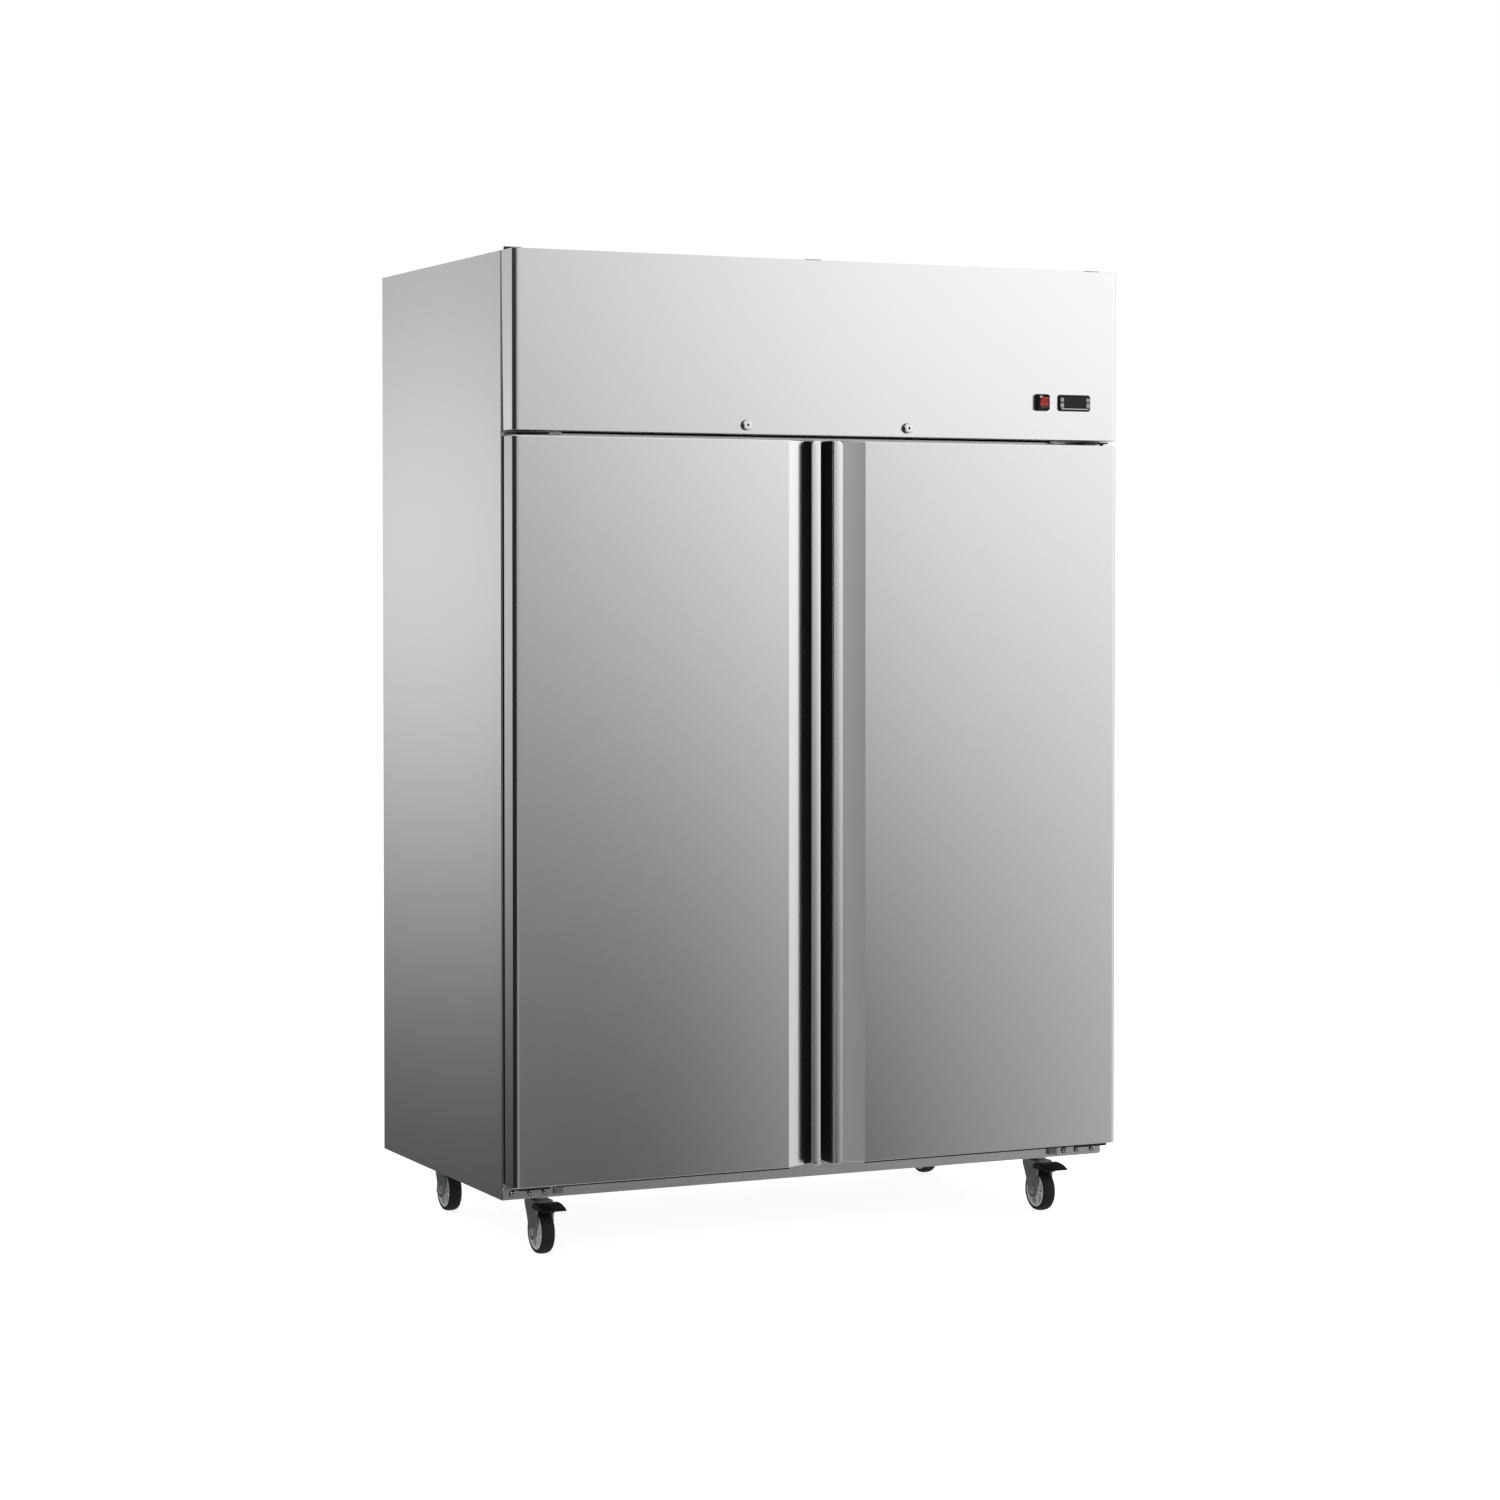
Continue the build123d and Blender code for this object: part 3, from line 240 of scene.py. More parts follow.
def arc(centre, radius, start, end, steps):
    """Points round part of a circle, angles in degrees."""
    turns = [radians(start + (end - start) * k / steps) for k in range(steps + 1)]
    return [(centre[0] + radius * cos(t), centre[1] + radius * sin(t)) for t in turns]


def rounded(centre, size, radius, steps=5):
    """Outline of a rectangle with round corners."""
    a, b = size[0] / 2 - radius, size[1] / 2 - radius
    corners = ((a, b, 0), (-a, b, 90), (-a, -b, 180), (a, -b, 270))
    outline = []
    for u, v, start in corners:
        outline += arc((centre[0] + u, centre[1] + v), radius, start, start + 90, steps)
    return outline


def polygon(centre, radius, sides, turn=0.0):
    return [(centre[0] + radius * cos(2 * pi * k / sides + turn),
             centre[1] + radius * sin(2 * pi * k / sides + turn)) for k in range(sides)]


# ---- materials ----
class Shading:
    """Short calls for building a tree of shader nodes."""

    def __init__(self, tree):
        self.tree = tree

    def node(self, kind, **values):
        made = self.tree.nodes.new(kind)
        for key, value in values.items():
            setattr(made, key, value)
        return made

    def link(self, source, target):
        self.tree.links.new(source, target)

    def feed(self, socket, value):
        """Give a socket a number or a grey of that level, or link another node's output to it."""
        if not isinstance(value, (int, float)):
            self.link(value, socket)
        elif socket.type == "RGBA":
            socket.default_value = (value, value, value, 1)
        else:
            socket.default_value = value

    def math(self, operation, *values):
        made = self.node("ShaderNodeMath", operation=operation)
        for socket, value in zip(made.inputs, values):
            self.feed(socket, value)
        return made.outputs[0]

    def split(self, vector):
        made = self.node("ShaderNodeSeparateXYZ")
        self.link(vector, made.inputs[0])
        return made.outputs

    def ramp(self, value, stops):
        made = self.node("ShaderNodeValToRGB")
        elements = made.color_ramp.elements
        while len(elements) < len(stops):
            elements.new(0.5)
        for element, (position, colour) in zip(elements, stops):
            element.position = position
            element.color = (*colour, 1)
        self.link(value, made.inputs["Fac"])
        return made.outputs["Color"]

    def mix(self, factor, a, b):
        made = self.node("ShaderNodeMix", data_type="RGBA")
        self.link(factor, made.inputs[0])
        self.feed(made.inputs[6], a)
        self.feed(made.inputs[7], b)
        return made.outputs[2]


class Look(Shading):
    """A procedural material on one Principled shader."""

    def __init__(self, name):
        self.material = bpy.data.materials.new(name)
        self.material.use_nodes = True
        super().__init__(self.material.node_tree)
        self.shader = self.tree.nodes["Principled BSDF"]
        self.place = self.node("ShaderNodeTexCoord").outputs["Object"]

    def set(self, **values):
        for key, value in values.items():
            self.shader.inputs[key.replace("_", " ")].default_value = value
        return self

    def noise(self, stretch, scale, detail, rough=0.5):
        mapping = self.node("ShaderNodeMapping")
        mapping.inputs["Scale"].default_value = stretch
        self.link(self.place, mapping.inputs["Vector"])
        made = self.node("ShaderNodeTexNoise")
        for name, value in (("Scale", scale), ("Detail", detail), ("Roughness", rough)):
            made.inputs[name].default_value = value
        self.link(mapping.outputs["Vector"], made.inputs["Vector"])
        return made.outputs["Fac"]

    def cells(self, scale):
        made = self.node("ShaderNodeTexVoronoi")
        made.inputs["Scale"].default_value = scale
        self.link(self.place, made.inputs["Vector"])
        return made.outputs["Color"]

    def span(self, value, low_value, high_value, source=(0.0, 1.0)):
        """Map a value from its source range to the range between two others."""
        made = self.node("ShaderNodeMapRange")
        limits = (*source, low_value, high_value)
        for name, limit in zip(("From Min", "From Max", "To Min", "To Max"), limits):
            made.inputs[name].default_value = limit
        self.link(value, made.inputs["Value"])
        return made.outputs["Result"]

    def side_shade_mask(self):
        """Painted shade mask: 1 on the folded returns at the cabinet's two sides, 0 between them."""
        reach = self.math("ABSOLUTE", self.split(self.place)["X"])
        return self.span(reach, 0.0, 1.0, (HALF - 3.0 * MM, HALF - 0.8 * MM))

    def bump(self, height, strength, distance):
        made = self.node("ShaderNodeBump")
        made.inputs["Strength"].default_value = strength
        made.inputs["Distance"].default_value = distance
        self.link(height, made.inputs["Height"])
        normal = self.shader.inputs["Normal"]
        if normal.is_linked:
            self.link(normal.links[0].from_socket, made.inputs["Normal"])
        self.link(made.outputs["Normal"], normal)
        return self

    def colour(self, value):
        self.link(value, self.shader.inputs["Base Color"])
        return self

    def roughness(self, value):
        self.link(value, self.shader.inputs["Roughness"])
        return self


def grey(level, tint=(1.0, 1.0, 1.0)):
    return tuple(level * t for t in tint)


def steel(name, tone, rough, stretch, grain=0.05, tint=(1.0, 1.0, 1.0), shaded_return_tone=None):
    """Brushed stainless sheet: fine grain along one direction, faint broad variation, and a darker tone
    painted as shade on the side returns when one is given.
    """
    look = Look(name).set(Metallic=1.0)
    strokes = look.noise(stretch, 60, 4, 0.7)
    broad = look.noise((1, 1, 1), 2.5, 2)
    face = look.ramp(strokes, ((0.3, grey(tone * (1 - grain), tint)), (0.7, grey(tone, tint))))
    # painted shade: the side returns take a darker tone of the same steel
    if shaded_return_tone:
        stops = ((0.3, grey(shaded_return_tone * (1 - grain))), (0.7, grey(shaded_return_tone)))
        face = look.mix(look.side_shade_mask(), face, look.ramp(strokes, stops))
    look.colour(face)
    look.roughness(look.span(strokes, rough - 0.035, rough + 0.035))
    look.bump(strokes, 0.06, 0.0002)
    look.bump(broad, 0.03, 0.002)
    return look.material


def plastic(name, tone, rough, coarse=900, tint=(1.0, 1.0, 1.0), metal=0.0, relief=0.12, shine=0.5):
    """Moulded or coated surface with a fine grained skin and slight scuffing."""
    look = Look(name).set(Metallic=metal, Specular_IOR_Level=shine)
    skin = look.noise((1, 1, 1), coarse, 2)
    scuff = look.noise((1, 1, 1), 35, 5, 0.65)
    look.colour(look.ramp(scuff, ((0.35, grey(tone * 0.88, tint)), (0.75, grey(tone * 1.08, tint)))))
    look.roughness(look.span(scuff, rough - 0.05, rough + 0.07))
    look.bump(skin, relief, 0.0002)
    return look.material


def galvanised(name, tone):
    """Zinc-coated sheet with its crystal spangle."""
    look = Look(name).set(Metallic=0.9)
    spangle = look.cells(55)
    streak = look.noise((3, 3, 40), 8, 4)
    crystals = look.ramp(spangle, ((0.1, grey(tone * 0.86)), (0.9, grey(tone))))
    runs = look.ramp(streak, ((0.3, grey(tone * 0.9)), (0.7, grey(tone * 1.05))))
    look.colour(look.mix(look.span(streak, 0.2, 0.5), crystals, runs))
    look.roughness(look.span(spangle, 0.38, 0.5))
    look.bump(streak, 0.05, 0.0005)
    return look.material


def finned(name, tone, pitch):
    """Thin aluminium fins side by side along X."""
    look = Look(name).set(Metallic=1.0)
    wave = look.node("ShaderNodeTexWave")
    wave.inputs["Scale"].default_value = pi / (10 * pitch)
    wave.inputs["Distortion"].default_value = 0.4
    look.link(look.place, wave.inputs["Vector"])
    look.colour(look.ramp(wave.outputs["Fac"], ((0.35, grey(tone * 0.12)), (0.6, grey(tone)))))
    look.roughness(look.span(look.noise((1, 1, 1), 120, 3), 0.32, 0.5))
    look.bump(wave.outputs["Fac"], 0.5, 0.001)
    return look.material


def glassy(name, tint, rough):
    """Dark smoked window with faint dust."""
    look = Look(name).set(IOR=1.5, Specular_IOR_Level=0.15)
    dust = look.noise((1, 1, 1), 300, 3)
    look.colour(look.ramp(dust, ((0.4, tint), (0.9, grey(1.3, tint)))))
    look.roughness(look.span(dust, rough, rough + 0.06))
    return look.material


ROCKER_SPLIT_Z = 1722.5 * MM
VERTICAL = (1400 / 60, 1400 / 60, 0.25)
ACROSS = (0.25, 1400 / 60, 1400 / 60)


def make_looks():
    return {
        # the door's side returns are darker, 0.60 against 0.80, as painted shade
        "door": steel("brushed_door_steel", 0.80, 0.20, VERTICAL, shaded_return_tone=0.60),
        "panel": steel("brushed_panel_steel", 0.82, 0.20, VERTICAL),
        "side": steel("brushed_side_steel", 0.80, 0.22, VERTICAL),
        "rail": steel("brushed_rail_steel", 0.78, 0.26, ACROSS, 0.14),
        "liner": steel("liner_steel", 0.74, 0.30, VERTICAL),
        "fitting": steel("fitting_steel", 0.70, 0.25, ACROSS),
        "zinc": galvanised("galvanised_sheet", 0.62),
        "bolt": steel("bright_bolt_steel", 0.62, 0.24, (1, 1, 1), 0.06),
        "chrome": steel("polished_chrome", 0.86, 0.08, (1, 1, 1), 0.02),
        "caster": plastic("zinc_plated_steel", 0.46, 0.28, 500, (0.97, 0.99, 1.0), 1.0, 0.05),
        "black_steel": plastic("black_coated_steel", 0.010, 0.40, 700, relief=0.08, shine=0.22),
        "black": plastic("black_moulded_plastic", 0.005, 0.36, 1100, shine=0.13),
        "gasket": plastic("black_gasket_vinyl", 0.008, 0.55, 800, shine=0.15),
        "tyre": plastic("black_tyre_rubber", 0.010, 0.55, 600, relief=0.2, shine=0.16),
        "hub": plastic("grey_nylon_hub", 0.46, 0.35, 800, (0.98, 1.0, 1.0)),
        "foam": plastic("yellow_foam", 0.8, 0.85, 250, (1.0, 0.88, 0.6), relief=0.5),
        "white": plastic("white_coated_sheet", 0.72, 0.35, 900, (0.98, 1.0, 1.0), relief=0.05),
        "wire": plastic("grey_coated_wire", 0.60, 0.33, 900, (0.98, 1.0, 1.0), relief=0.05),
        "copper": plastic("copper_tube", 0.75, 0.3, 300, (1.0, 0.62, 0.42), 1.0, 0.03),
        "fins": finned("aluminium_fins", 0.7, 2.4 * MM),
        "enamel": plastic("black_enamel", 0.015, 0.25, 400, relief=0.04),
        "case": plastic("controller_case_plastic", 0.005, 0.3, 1200, shine=0.15),
        "case_grey": plastic("controller_grey_plastic", 0.10, 0.35, 1200),
        "key": plastic("controller_key_rubber", 0.17, 0.5, 1500),
        "window": glassy("controller_window", grey(0.008), 0.06),
        "red": red_lens(),
    }


def red_lens():
    """Clear red above, black below, as the photo's switch shows its two halves."""
    look = Look("red_rocker_plastic").set(IOR=1.49, Specular_IOR_Level=0.3)
    look.set(Coat_Weight=0.15, Coat_Roughness=0.1)
    depth = look.noise((1, 1, 1), 120, 2)
    lens = look.ramp(depth, ((0.3, (0.14, 0.007, 0.005)), (0.8, (0.32, 0.022, 0.016))))
    height = look.split(look.place)["Z"]
    upper = look.span(height, 0.0, 1.0, (ROCKER_SPLIT_Z - 0.4 * MM, ROCKER_SPLIT_Z + 0.4 * MM))
    black = look.ramp(depth, ((0.3, grey(0.010)), (0.8, grey(0.016))))
    look.colour(look.mix(upper, black, lens))
    look.roughness(look.span(depth, 0.16, 0.26))
    return look.material


# ---- light and stage ----
# degrees from the front towards the right, light high up, light low down, share of SIDE_RISING
FACING = ((-180, 0.95, 0.04, 1), (-162, 1.12, 0.03, 1), (-148, 1.16, 0.03, 1), (-138, 0.70, 0.02, 1),
          (-129, 0.010, 0.01, 0), (-31, 0.012, 0.01, 0), (-27, 0.38, 0.30, 0), (-17, 0.41, 0.26, 0),
          (-6, 0.50, 0.28, 0), (8, 0.58, 0.20, 0), (15, 0.74, 0.04, 0), (20, 0.95, 0.005, 0),
          (22.5, 1.05, 0.02, 0), (25, 1.11, 0.04, 0), (27.5, 1.23, 0.19, 0), (31, 1.26, 0.22, 0),
          (45, 1.42, 0.62, 0), (75, 1.34, 0.74, 0), (110, 0.90, 0.42, 0), (150, 0.80, 0.20, 0.5),
          (180, 0.95, 0.04, 1))
# degrees above the horizon, share of the light high up
RISING = ((-15, 0.0), (-11, 0.012), (-8.4, 0.035), (-5.2, 0.19), (-2.5, 0.42), (-0.3, 0.60),
          (2.1, 0.80), (4.6, 1.0))
SIDE_RISING = ((-15, 0.0), (-9.2, 0.045), (-8.4, 0.065), (-6.8, 0.165), (-5.2, 0.30), (-3.6, 0.47),
               (-2, 0.63), (-0.3, 0.765), (0.5, 0.81), (1.3, 0.785), (2.1, 0.735), (2.9, 0.66),
               (3.7, 0.59), (4.6, 0.49), (8, 0.40))
# even greys above and below that band, and how they take over with degrees above the horizon
OVERHEAD = 0.95
UNDERFOOT = 0.46
SKY_EDGE = ((9, 0.0), (26, 1.0))
GROUND_EDGE = ((-34, 1.0), (-16, 0.0))
FLOOR_HALF = 30.0


def make_world():
    """Light by direction: bright above the horizon, darker below, brightest at the front right."""
    world = bpy.data.worlds.new("studio")
    scene.world = world
    world.use_nodes = True
    world.node_tree.nodes.clear()
    light = Shading(world.node_tree)
    x, y, z = light.split(light.node("ShaderNodeTexCoord").outputs["Generated"])
    facing = light.math("ARCTAN2", x, light.math("MULTIPLY", y, -1.0))
    turn = light.math("ADD", light.math("DIVIDE", facing, 2 * pi), 0.5)
    rise = light.math("ADD", light.math("MULTIPLY", light.math("ARCSINE", z), 1 / pi), 0.5)

    def by_facing(column):
        return light.ramp(turn, [((row[0] + 180) / 360, grey(row[column])) for row in FACING])

    def by_height(steps):
        return light.ramp(rise, [((elevation + 90) / 180, grey(level)) for elevation, level in steps])

    upper, lower, side_share = by_facing(1), by_facing(2), by_facing(3)
    rising = light.mix(side_share, by_height(RISING), by_height(SIDE_RISING))
    band = light.mix(rising, lower, upper)
    overhead = light.mix(by_height(SKY_EDGE), band, OVERHEAD)
    lit = light.mix(by_height(GROUND_EDGE), overhead, UNDERFOOT)
    shown = light.mix(light.node("ShaderNodeLightPath").outputs["Is Camera Ray"], lit, 1.0)
    background = light.node("ShaderNodeBackground")
    output = light.node("ShaderNodeOutputWorld")
    light.link(shown, background.inputs["Color"])
    light.link(background.outputs[0], output.inputs["Surface"])


def area_light(name, place, target, size, watts):
    data = bpy.data.lights.new(name, "AREA")
    data.shape = "DISK"
    data.size = size
    data.energy = watts
    light = bpy.data.objects.new(name, data)
    scene.collection.objects.link(light)
    light.location = place
    light.rotation_euler = (Vector(target) - Vector(place)).to_track_quat("-Z", "Y").to_euler()
    light.visible_glossy = False
    light.visible_camera = False


def make_stage():
    mesh = bpy.data.meshes.new("floor")
    signs = ((-1, -1), (1, -1), (1, 1), (-1, 1))
    corners = [(a * FLOOR_HALF, b * FLOOR_HALF, cad_box[0].z) for a, b in signs]
    mesh.from_pydata(corners, [], [(0, 1, 2, 3)])
    look = Look("pale_floor").set(Roughness=0.9, Emission_Color=(1, 1, 1, 1), Emission_Strength=0.86)
    tone = look.noise((1, 1, 1), 0.8, 3)
    look.colour(look.ramp(tone, ((0.3, grey(0.28)), (0.7, grey(0.30)))))
    mesh.materials.append(look.material)
    floor = bpy.data.objects.new("floor", mesh)
    scene.collection.objects.link(floor)
    floor.visible_glossy = False
    area_light("overhead_softbox", (1.0, -1.5, 5.5), (0, 0, 0), 5.0, 430)
    area_light("front_softbox", (-3.5, -6.0, 3.2), (0, 0, 1.0), 3.0, 130)
    scene.view_settings.view_transform = "Standard"
    scene.view_settings.look = "None"


# ---- doors ----
LOCK_X = 183 * MM
LOCK_Z = 1669 * MM
# the slots that a lock's cam passes through
SLOT_X = (LOCK_X - 10 * MM, LOCK_X + 36 * MM)
SLOT_Y = (FACE_Y - 52 * MM, FACE_Y - 38 * MM)


def carve(obj, lo, hi):
    """Cut a box out of a finished piece."""
    cutter = Piece("cutter").box(lo, hi).made()
    cut = obj.modifiers.new("cut", "BOOLEAN")
    cut.object = cutter
    cut.solver = "EXACT"
    solid = obj.data
    graph = bpy.context.evaluated_depsgraph_get()
    obj.data = bpy.data.meshes.new_from_object(obj.evaluated_get(graph))
    obj.modifiers.remove(cut)
    spare = cutter.data
    bpy.data.objects.remove(cutter)
    bpy.data.meshes.remove(spare)
    bpy.data.meshes.remove(solid)


RECESS_OUTER = 86.5 * MM
RECESS_INNER = 30 * MM
RECESS_DEEP = 26 * MM
COVE = 9 * MM
COVE_R = 0.6 * COVE
FOLD_R = 5 * MM
PULL_EDGE = 35 * MM
PULL_THICK = 5 * MM
PULL_WALL = 6 * MM
PULL_R = 5 * MM
PULL_CORNER = 10 * MM
PULL_LEAN = 1.3 * MM
LIP = 0.8 * MM
EDGE_R = 11 * MM
HEM_R = 1.6 * MM
# thickness of the black sheet of painted shade in the pull's recess, and how far up the slope it starts
SHADE_SHEET = 0.4 * MM
SHADED_SLOPE = 0.22


def recess_floor(box):
    """Plan of the recess floor and the wall behind the pull, from the foot of the slope inward."""
    wall, bottom = box[0].x + PULL_WALL, box[0].y + RECESS_DEEP
    foot = (wall + COVE + 4 * MM, bottom)
    return [foot] + arc((wall + COVE_R, bottom - COVE_R), COVE_R, 90, 180, 4)


def door_outline(box, pull_edge):
    """Plan of the right door: corner, face, sloping recess, hooked pull and back."""
    inner, outer = box[0].x, box[1].x
    front, back = box[0].y, box[1].y
    bend = degrees(atan2(RECESS_DEEP, RECESS_OUTER - RECESS_INNER))
    wall = inner + PULL_WALL
    points = [(outer, back)]
    points += arc((outer - EDGE_R, front + EDGE_R), EDGE_R, 0, -90, 8)
    points += arc((RECESS_OUTER + FOLD_R / 4, front + FOLD_R), FOLD_R, -90, -90 - bend, 5)
    points += recess_floor(box)
    points += [(wall, front + PULL_THICK + 2 * MM), (wall + 2 * MM, front + PULL_THICK)]
    points += arc((pull_edge - LIP, front + PULL_THICK - LIP), LIP, 90, 0, 3)
    points += arc((pull_edge - LIP, front + LIP), LIP, 0, -90, 3)
    points += arc((inner + PULL_R, front + PULL_R + PULL_LEAN), PULL_R, -90, -180, 7)
    points += [(inner, back)]
    return points


def inset(outline, distance):
    """A closed anticlockwise outline moved inward, point by point."""
    moved = []
    for before, here, after in zip(outline[-1:] + outline[:-1], outline, outline[1:] + outline[:1]):
        came = (Vector(here) - Vector(before)).normalized()
        leaves = (Vector(after) - Vector(here)).normalized()
        along = (came + leaves).normalized()
        reach = distance / max(0.6, along.dot(came))
        moved.append((here[0] + along.y * reach, here[1] - along.x * reach))
    return moved


def door_skin(side, looks):
    """Folded shell with a rounded hem round both ends and round corners on the pull's free edge."""
    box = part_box("door_right_shell")
    lo, hi = box
    hem = [radians(30 * k) for k in range(4)]
    levels = [(HEM_R * (1 - cos(t)), HEM_R * (1 - sin(t))) for t in hem]
    levels += [(PULL_CORNER * (1 - cos(radians(t))), 0.0) for t in (45, 60, 75, 90)]
    rings = []
    sign = side_sign(side)
    for top in (False, True):
        for rise, tuck in (reversed(levels) if top else levels):
            edge = PULL_EDGE - PULL_CORNER * (1 - sqrt(1 - (1 - rise / PULL_CORNER) ** 2))
            z = hi.z - rise if top else lo.z + rise
            rings.append([(sign * x, y, z) for x, y in inset(door_outline(box, edge), tuck)])
    replaced = (f"door_{side}_shell", f"door_{side}_core")
    skin = Piece(f"door_skin_{side}").loft(rings)
    skin = skin.done(looks["door"], f"door_{side}", replaced, smooth=32, slot="brushed_steel")
    slot_x = sorted(sign * x for x in SLOT_X)
    carve(skin, (slot_x[0], SLOT_Y[0], hi.z - 12 * MM), (slot_x[1], SLOT_Y[1], hi.z + 1 * MM))


def pull_painted_shade(side, looks):
    """Painted shade: black sheets in the pull's recess, down the door's inner edge and under its end."""
    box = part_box("door_right_shell")
    lo, hi = box
    floor = recess_floor(box)
    foot = floor[0]
    start = (foot[0] + SHADED_SLOPE * (RECESS_OUTER - foot[0]), foot[1] - SHADED_SLOPE * RECESS_DEEP)
    end = (lo.x + PULL_WALL, lo.y + PULL_THICK + 2.4 * MM)
    path = [start] + floor + [end]
    raised = [(start[0], start[1] - SHADE_SHEET), (foot[0], foot[1] - SHADE_SHEET)]
    raised += [(x + SHADE_SHEET, y - SHADE_SHEET) for x, y in floor[1:]] + [(end[0] + SHADE_SHEET, end[1])]
    sign = side_sign(side)
    span = (lo.z + HEM_R, hi.z - HEM_R)
    piece = Piece(f"pull_painted_shade_{side}")
    # painted shade: a black sheet over the recess floor, its cove and the wall behind the pull
    piece.prism([(sign * x, y) for x, y in path + raised[::-1]], "Z", span)
    # painted shade: a black strip down the door's inner edge, where the gap between the doors is dark
    edge = sorted((sign * (lo.x - 0.3 * MM), sign * (lo.x + 0.2 * MM)))
    piece.box((edge[0], lo.y + PULL_R + 1 * MM, span[0]), (edge[1], hi.y, span[1]))
    # painted shadow: a black line under the door's end
    shadow_line = sorted((sign * RECESS_OUTER, sign * (ARM_INNER - 4 * MM)))
    piece.box((shadow_line[0], lo.y + 1.2 * MM, lo.z - 2.4 * MM), (shadow_line[1], lo.y + 4 * MM, lo.z + 0.3 * MM))
    # the gasket look here is painted shade, not a gasket
    piece.done(looks["gasket"], f"door_{side}", slot="black_plastic")


def sweep_frame(piece, profile, x_span, z_span, y_at):
    """Sweep an (inward, depth) profile round an upright rectangle with mitred corners."""
    corners = ((x_span[0], z_span[0], 1, 1), (x_span[1], z_span[0], -1, 1),
               (x_span[1], z_span[1], -1, -1), (x_span[0], z_span[1], 1, -1))
    rings = [[(x + i * inward, y_at + depth, z + j * inward) for inward, depth in profile]
             for x, z, i, j in corners]
    return piece.loft(rings, loop=True)


def door_gasket(side, looks):
    lo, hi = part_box(f"door_{side}_gasket")
    wide, deep = 16 * MM, hi.y - lo.y
    shape = ((0.0, 0.0), (1.0, 0.0), (1.0, 0.12), (0.72, 0.2), (0.72, 0.34), (0.95, 0.42), (0.95, 0.56),
             (1.0, 0.66), (1.0, 0.94), (0.92, 1.0), (0.1, 1.0), (0.0, 0.9), (0.0, 0.66), (0.08, 0.56),
             (0.08, 0.42), (0.3, 0.34), (0.3, 0.2), (0.0, 0.12))
    profile = [(a * wide, b * deep) for a, b in shape]
    piece = sweep_frame(Piece(f"door_seal_{side}"), profile, (lo.x, hi.x), (lo.z, hi.z), lo.y)
    piece.done(looks["gasket"], f"door_{side}", (f"door_{side}_gasket",), smooth=50, slot="gasket")


def door_lining(side, looks):
    """Inner liner: a flat pan and a raised dike with soft edges inside the gasket."""
    lo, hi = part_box(f"door_{side}_liner")
    seal_lo, seal_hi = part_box(f"door_{side}_gasket")
    plate_y = seal_lo.y
    pan = Piece(f"door_liner_{side}").box((lo.x, lo.y, lo.z), (hi.x, plate_y, hi.z))
    pan.done(looks["liner"], f"door_{side}", (f"door_{side}_liner",), slot="brushed_steel")
    margin = 36 * MM
    centre = ((seal_lo.x + seal_hi.x) / 2, (seal_lo.z + seal_hi.z) / 2)
    wide = seal_hi.x - seal_lo.x - 2 * margin
    tall = seal_hi.z - seal_lo.z - 2 * margin
    rings = []
    for inward, rise in ((0, 0), (1, 0.2), (2.5, 1), (4, 2.6), (6, 5), (8, 7.2), (10.5, 8.6), (14, 9)):
        size = (wide - 2 * inward * MM, tall - 2 * inward * MM)
        outline = rounded(centre, size, (22 - 0.6 * inward) * MM, 6)
        rings.append([(x, plate_y + rise * MM, z) for x, z in outline])
    dike = Piece(f"door_dike_{side}").loft(rings)
    dike.done(looks["liner"], f"door_{side}", smooth=40, slot="brushed_steel")


# ---- outer sheets ----
def folded_side(side, looks):
    """Side sheet with its rounded front fold and short return on the front frame."""
    lo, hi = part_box(f"side_panel_{side}")
    sign = side_sign(side)
    r = 2.5 * MM
    inside = HALF - (hi.x - lo.x)
    turned_in = HALF - 16 * MM
    proud, behind = lo.y - 0.5 * MM, lo.y - 0.1 * MM
    outline = [(HALF, hi.y - r), (HALF, proud + r)]
    outline += arc((HALF - r, proud + r), r, 0, -90, 5)[1:]
    outline += [(turned_in, proud), (turned_in, behind), (inside, behind), (inside, hi.y)]
    outline += arc((HALF - r, hi.y - r), r, 90, 0, 5)[:-1]
    ring = [(sign * x, y) for x, y in outline]
    piece = Piece(f"side_sheet_{side}").prism(ring, "Z", (lo.z, hi.z))
    piece.done(looks["side"], "cabinet", (f"side_panel_{side}",), smooth=30, slot="brushed_steel")


def frame_strips(looks):
    """Black strips on the front frame: beside each door, and the seal that the flip-up panel closes on."""
    piece = Piece("frame_strips")
    door_lo, door_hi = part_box("door_right_shell")
    strip_y = (FACE_Y - 1.3 * MM, FACE_Y - 0.3 * MM)
    piece.box((HALF - 17 * MM, strip_y[0], door_lo.z), (HALF - 2 * MM, strip_y[1], door_hi.z))
    seal_z = (low("front_panel").z - 3 * MM, low("front_panel").z + 7 * MM)
    piece.box((1 * MM, FACE_Y - 8 * MM, seal_z[0]), (PLATE_INNER - 2 * MM, FACE_Y, seal_z[1]))
    piece.mirrored().done(looks["gasket"], "cabinet", bevel=0.2 * MM, slot="gasket")


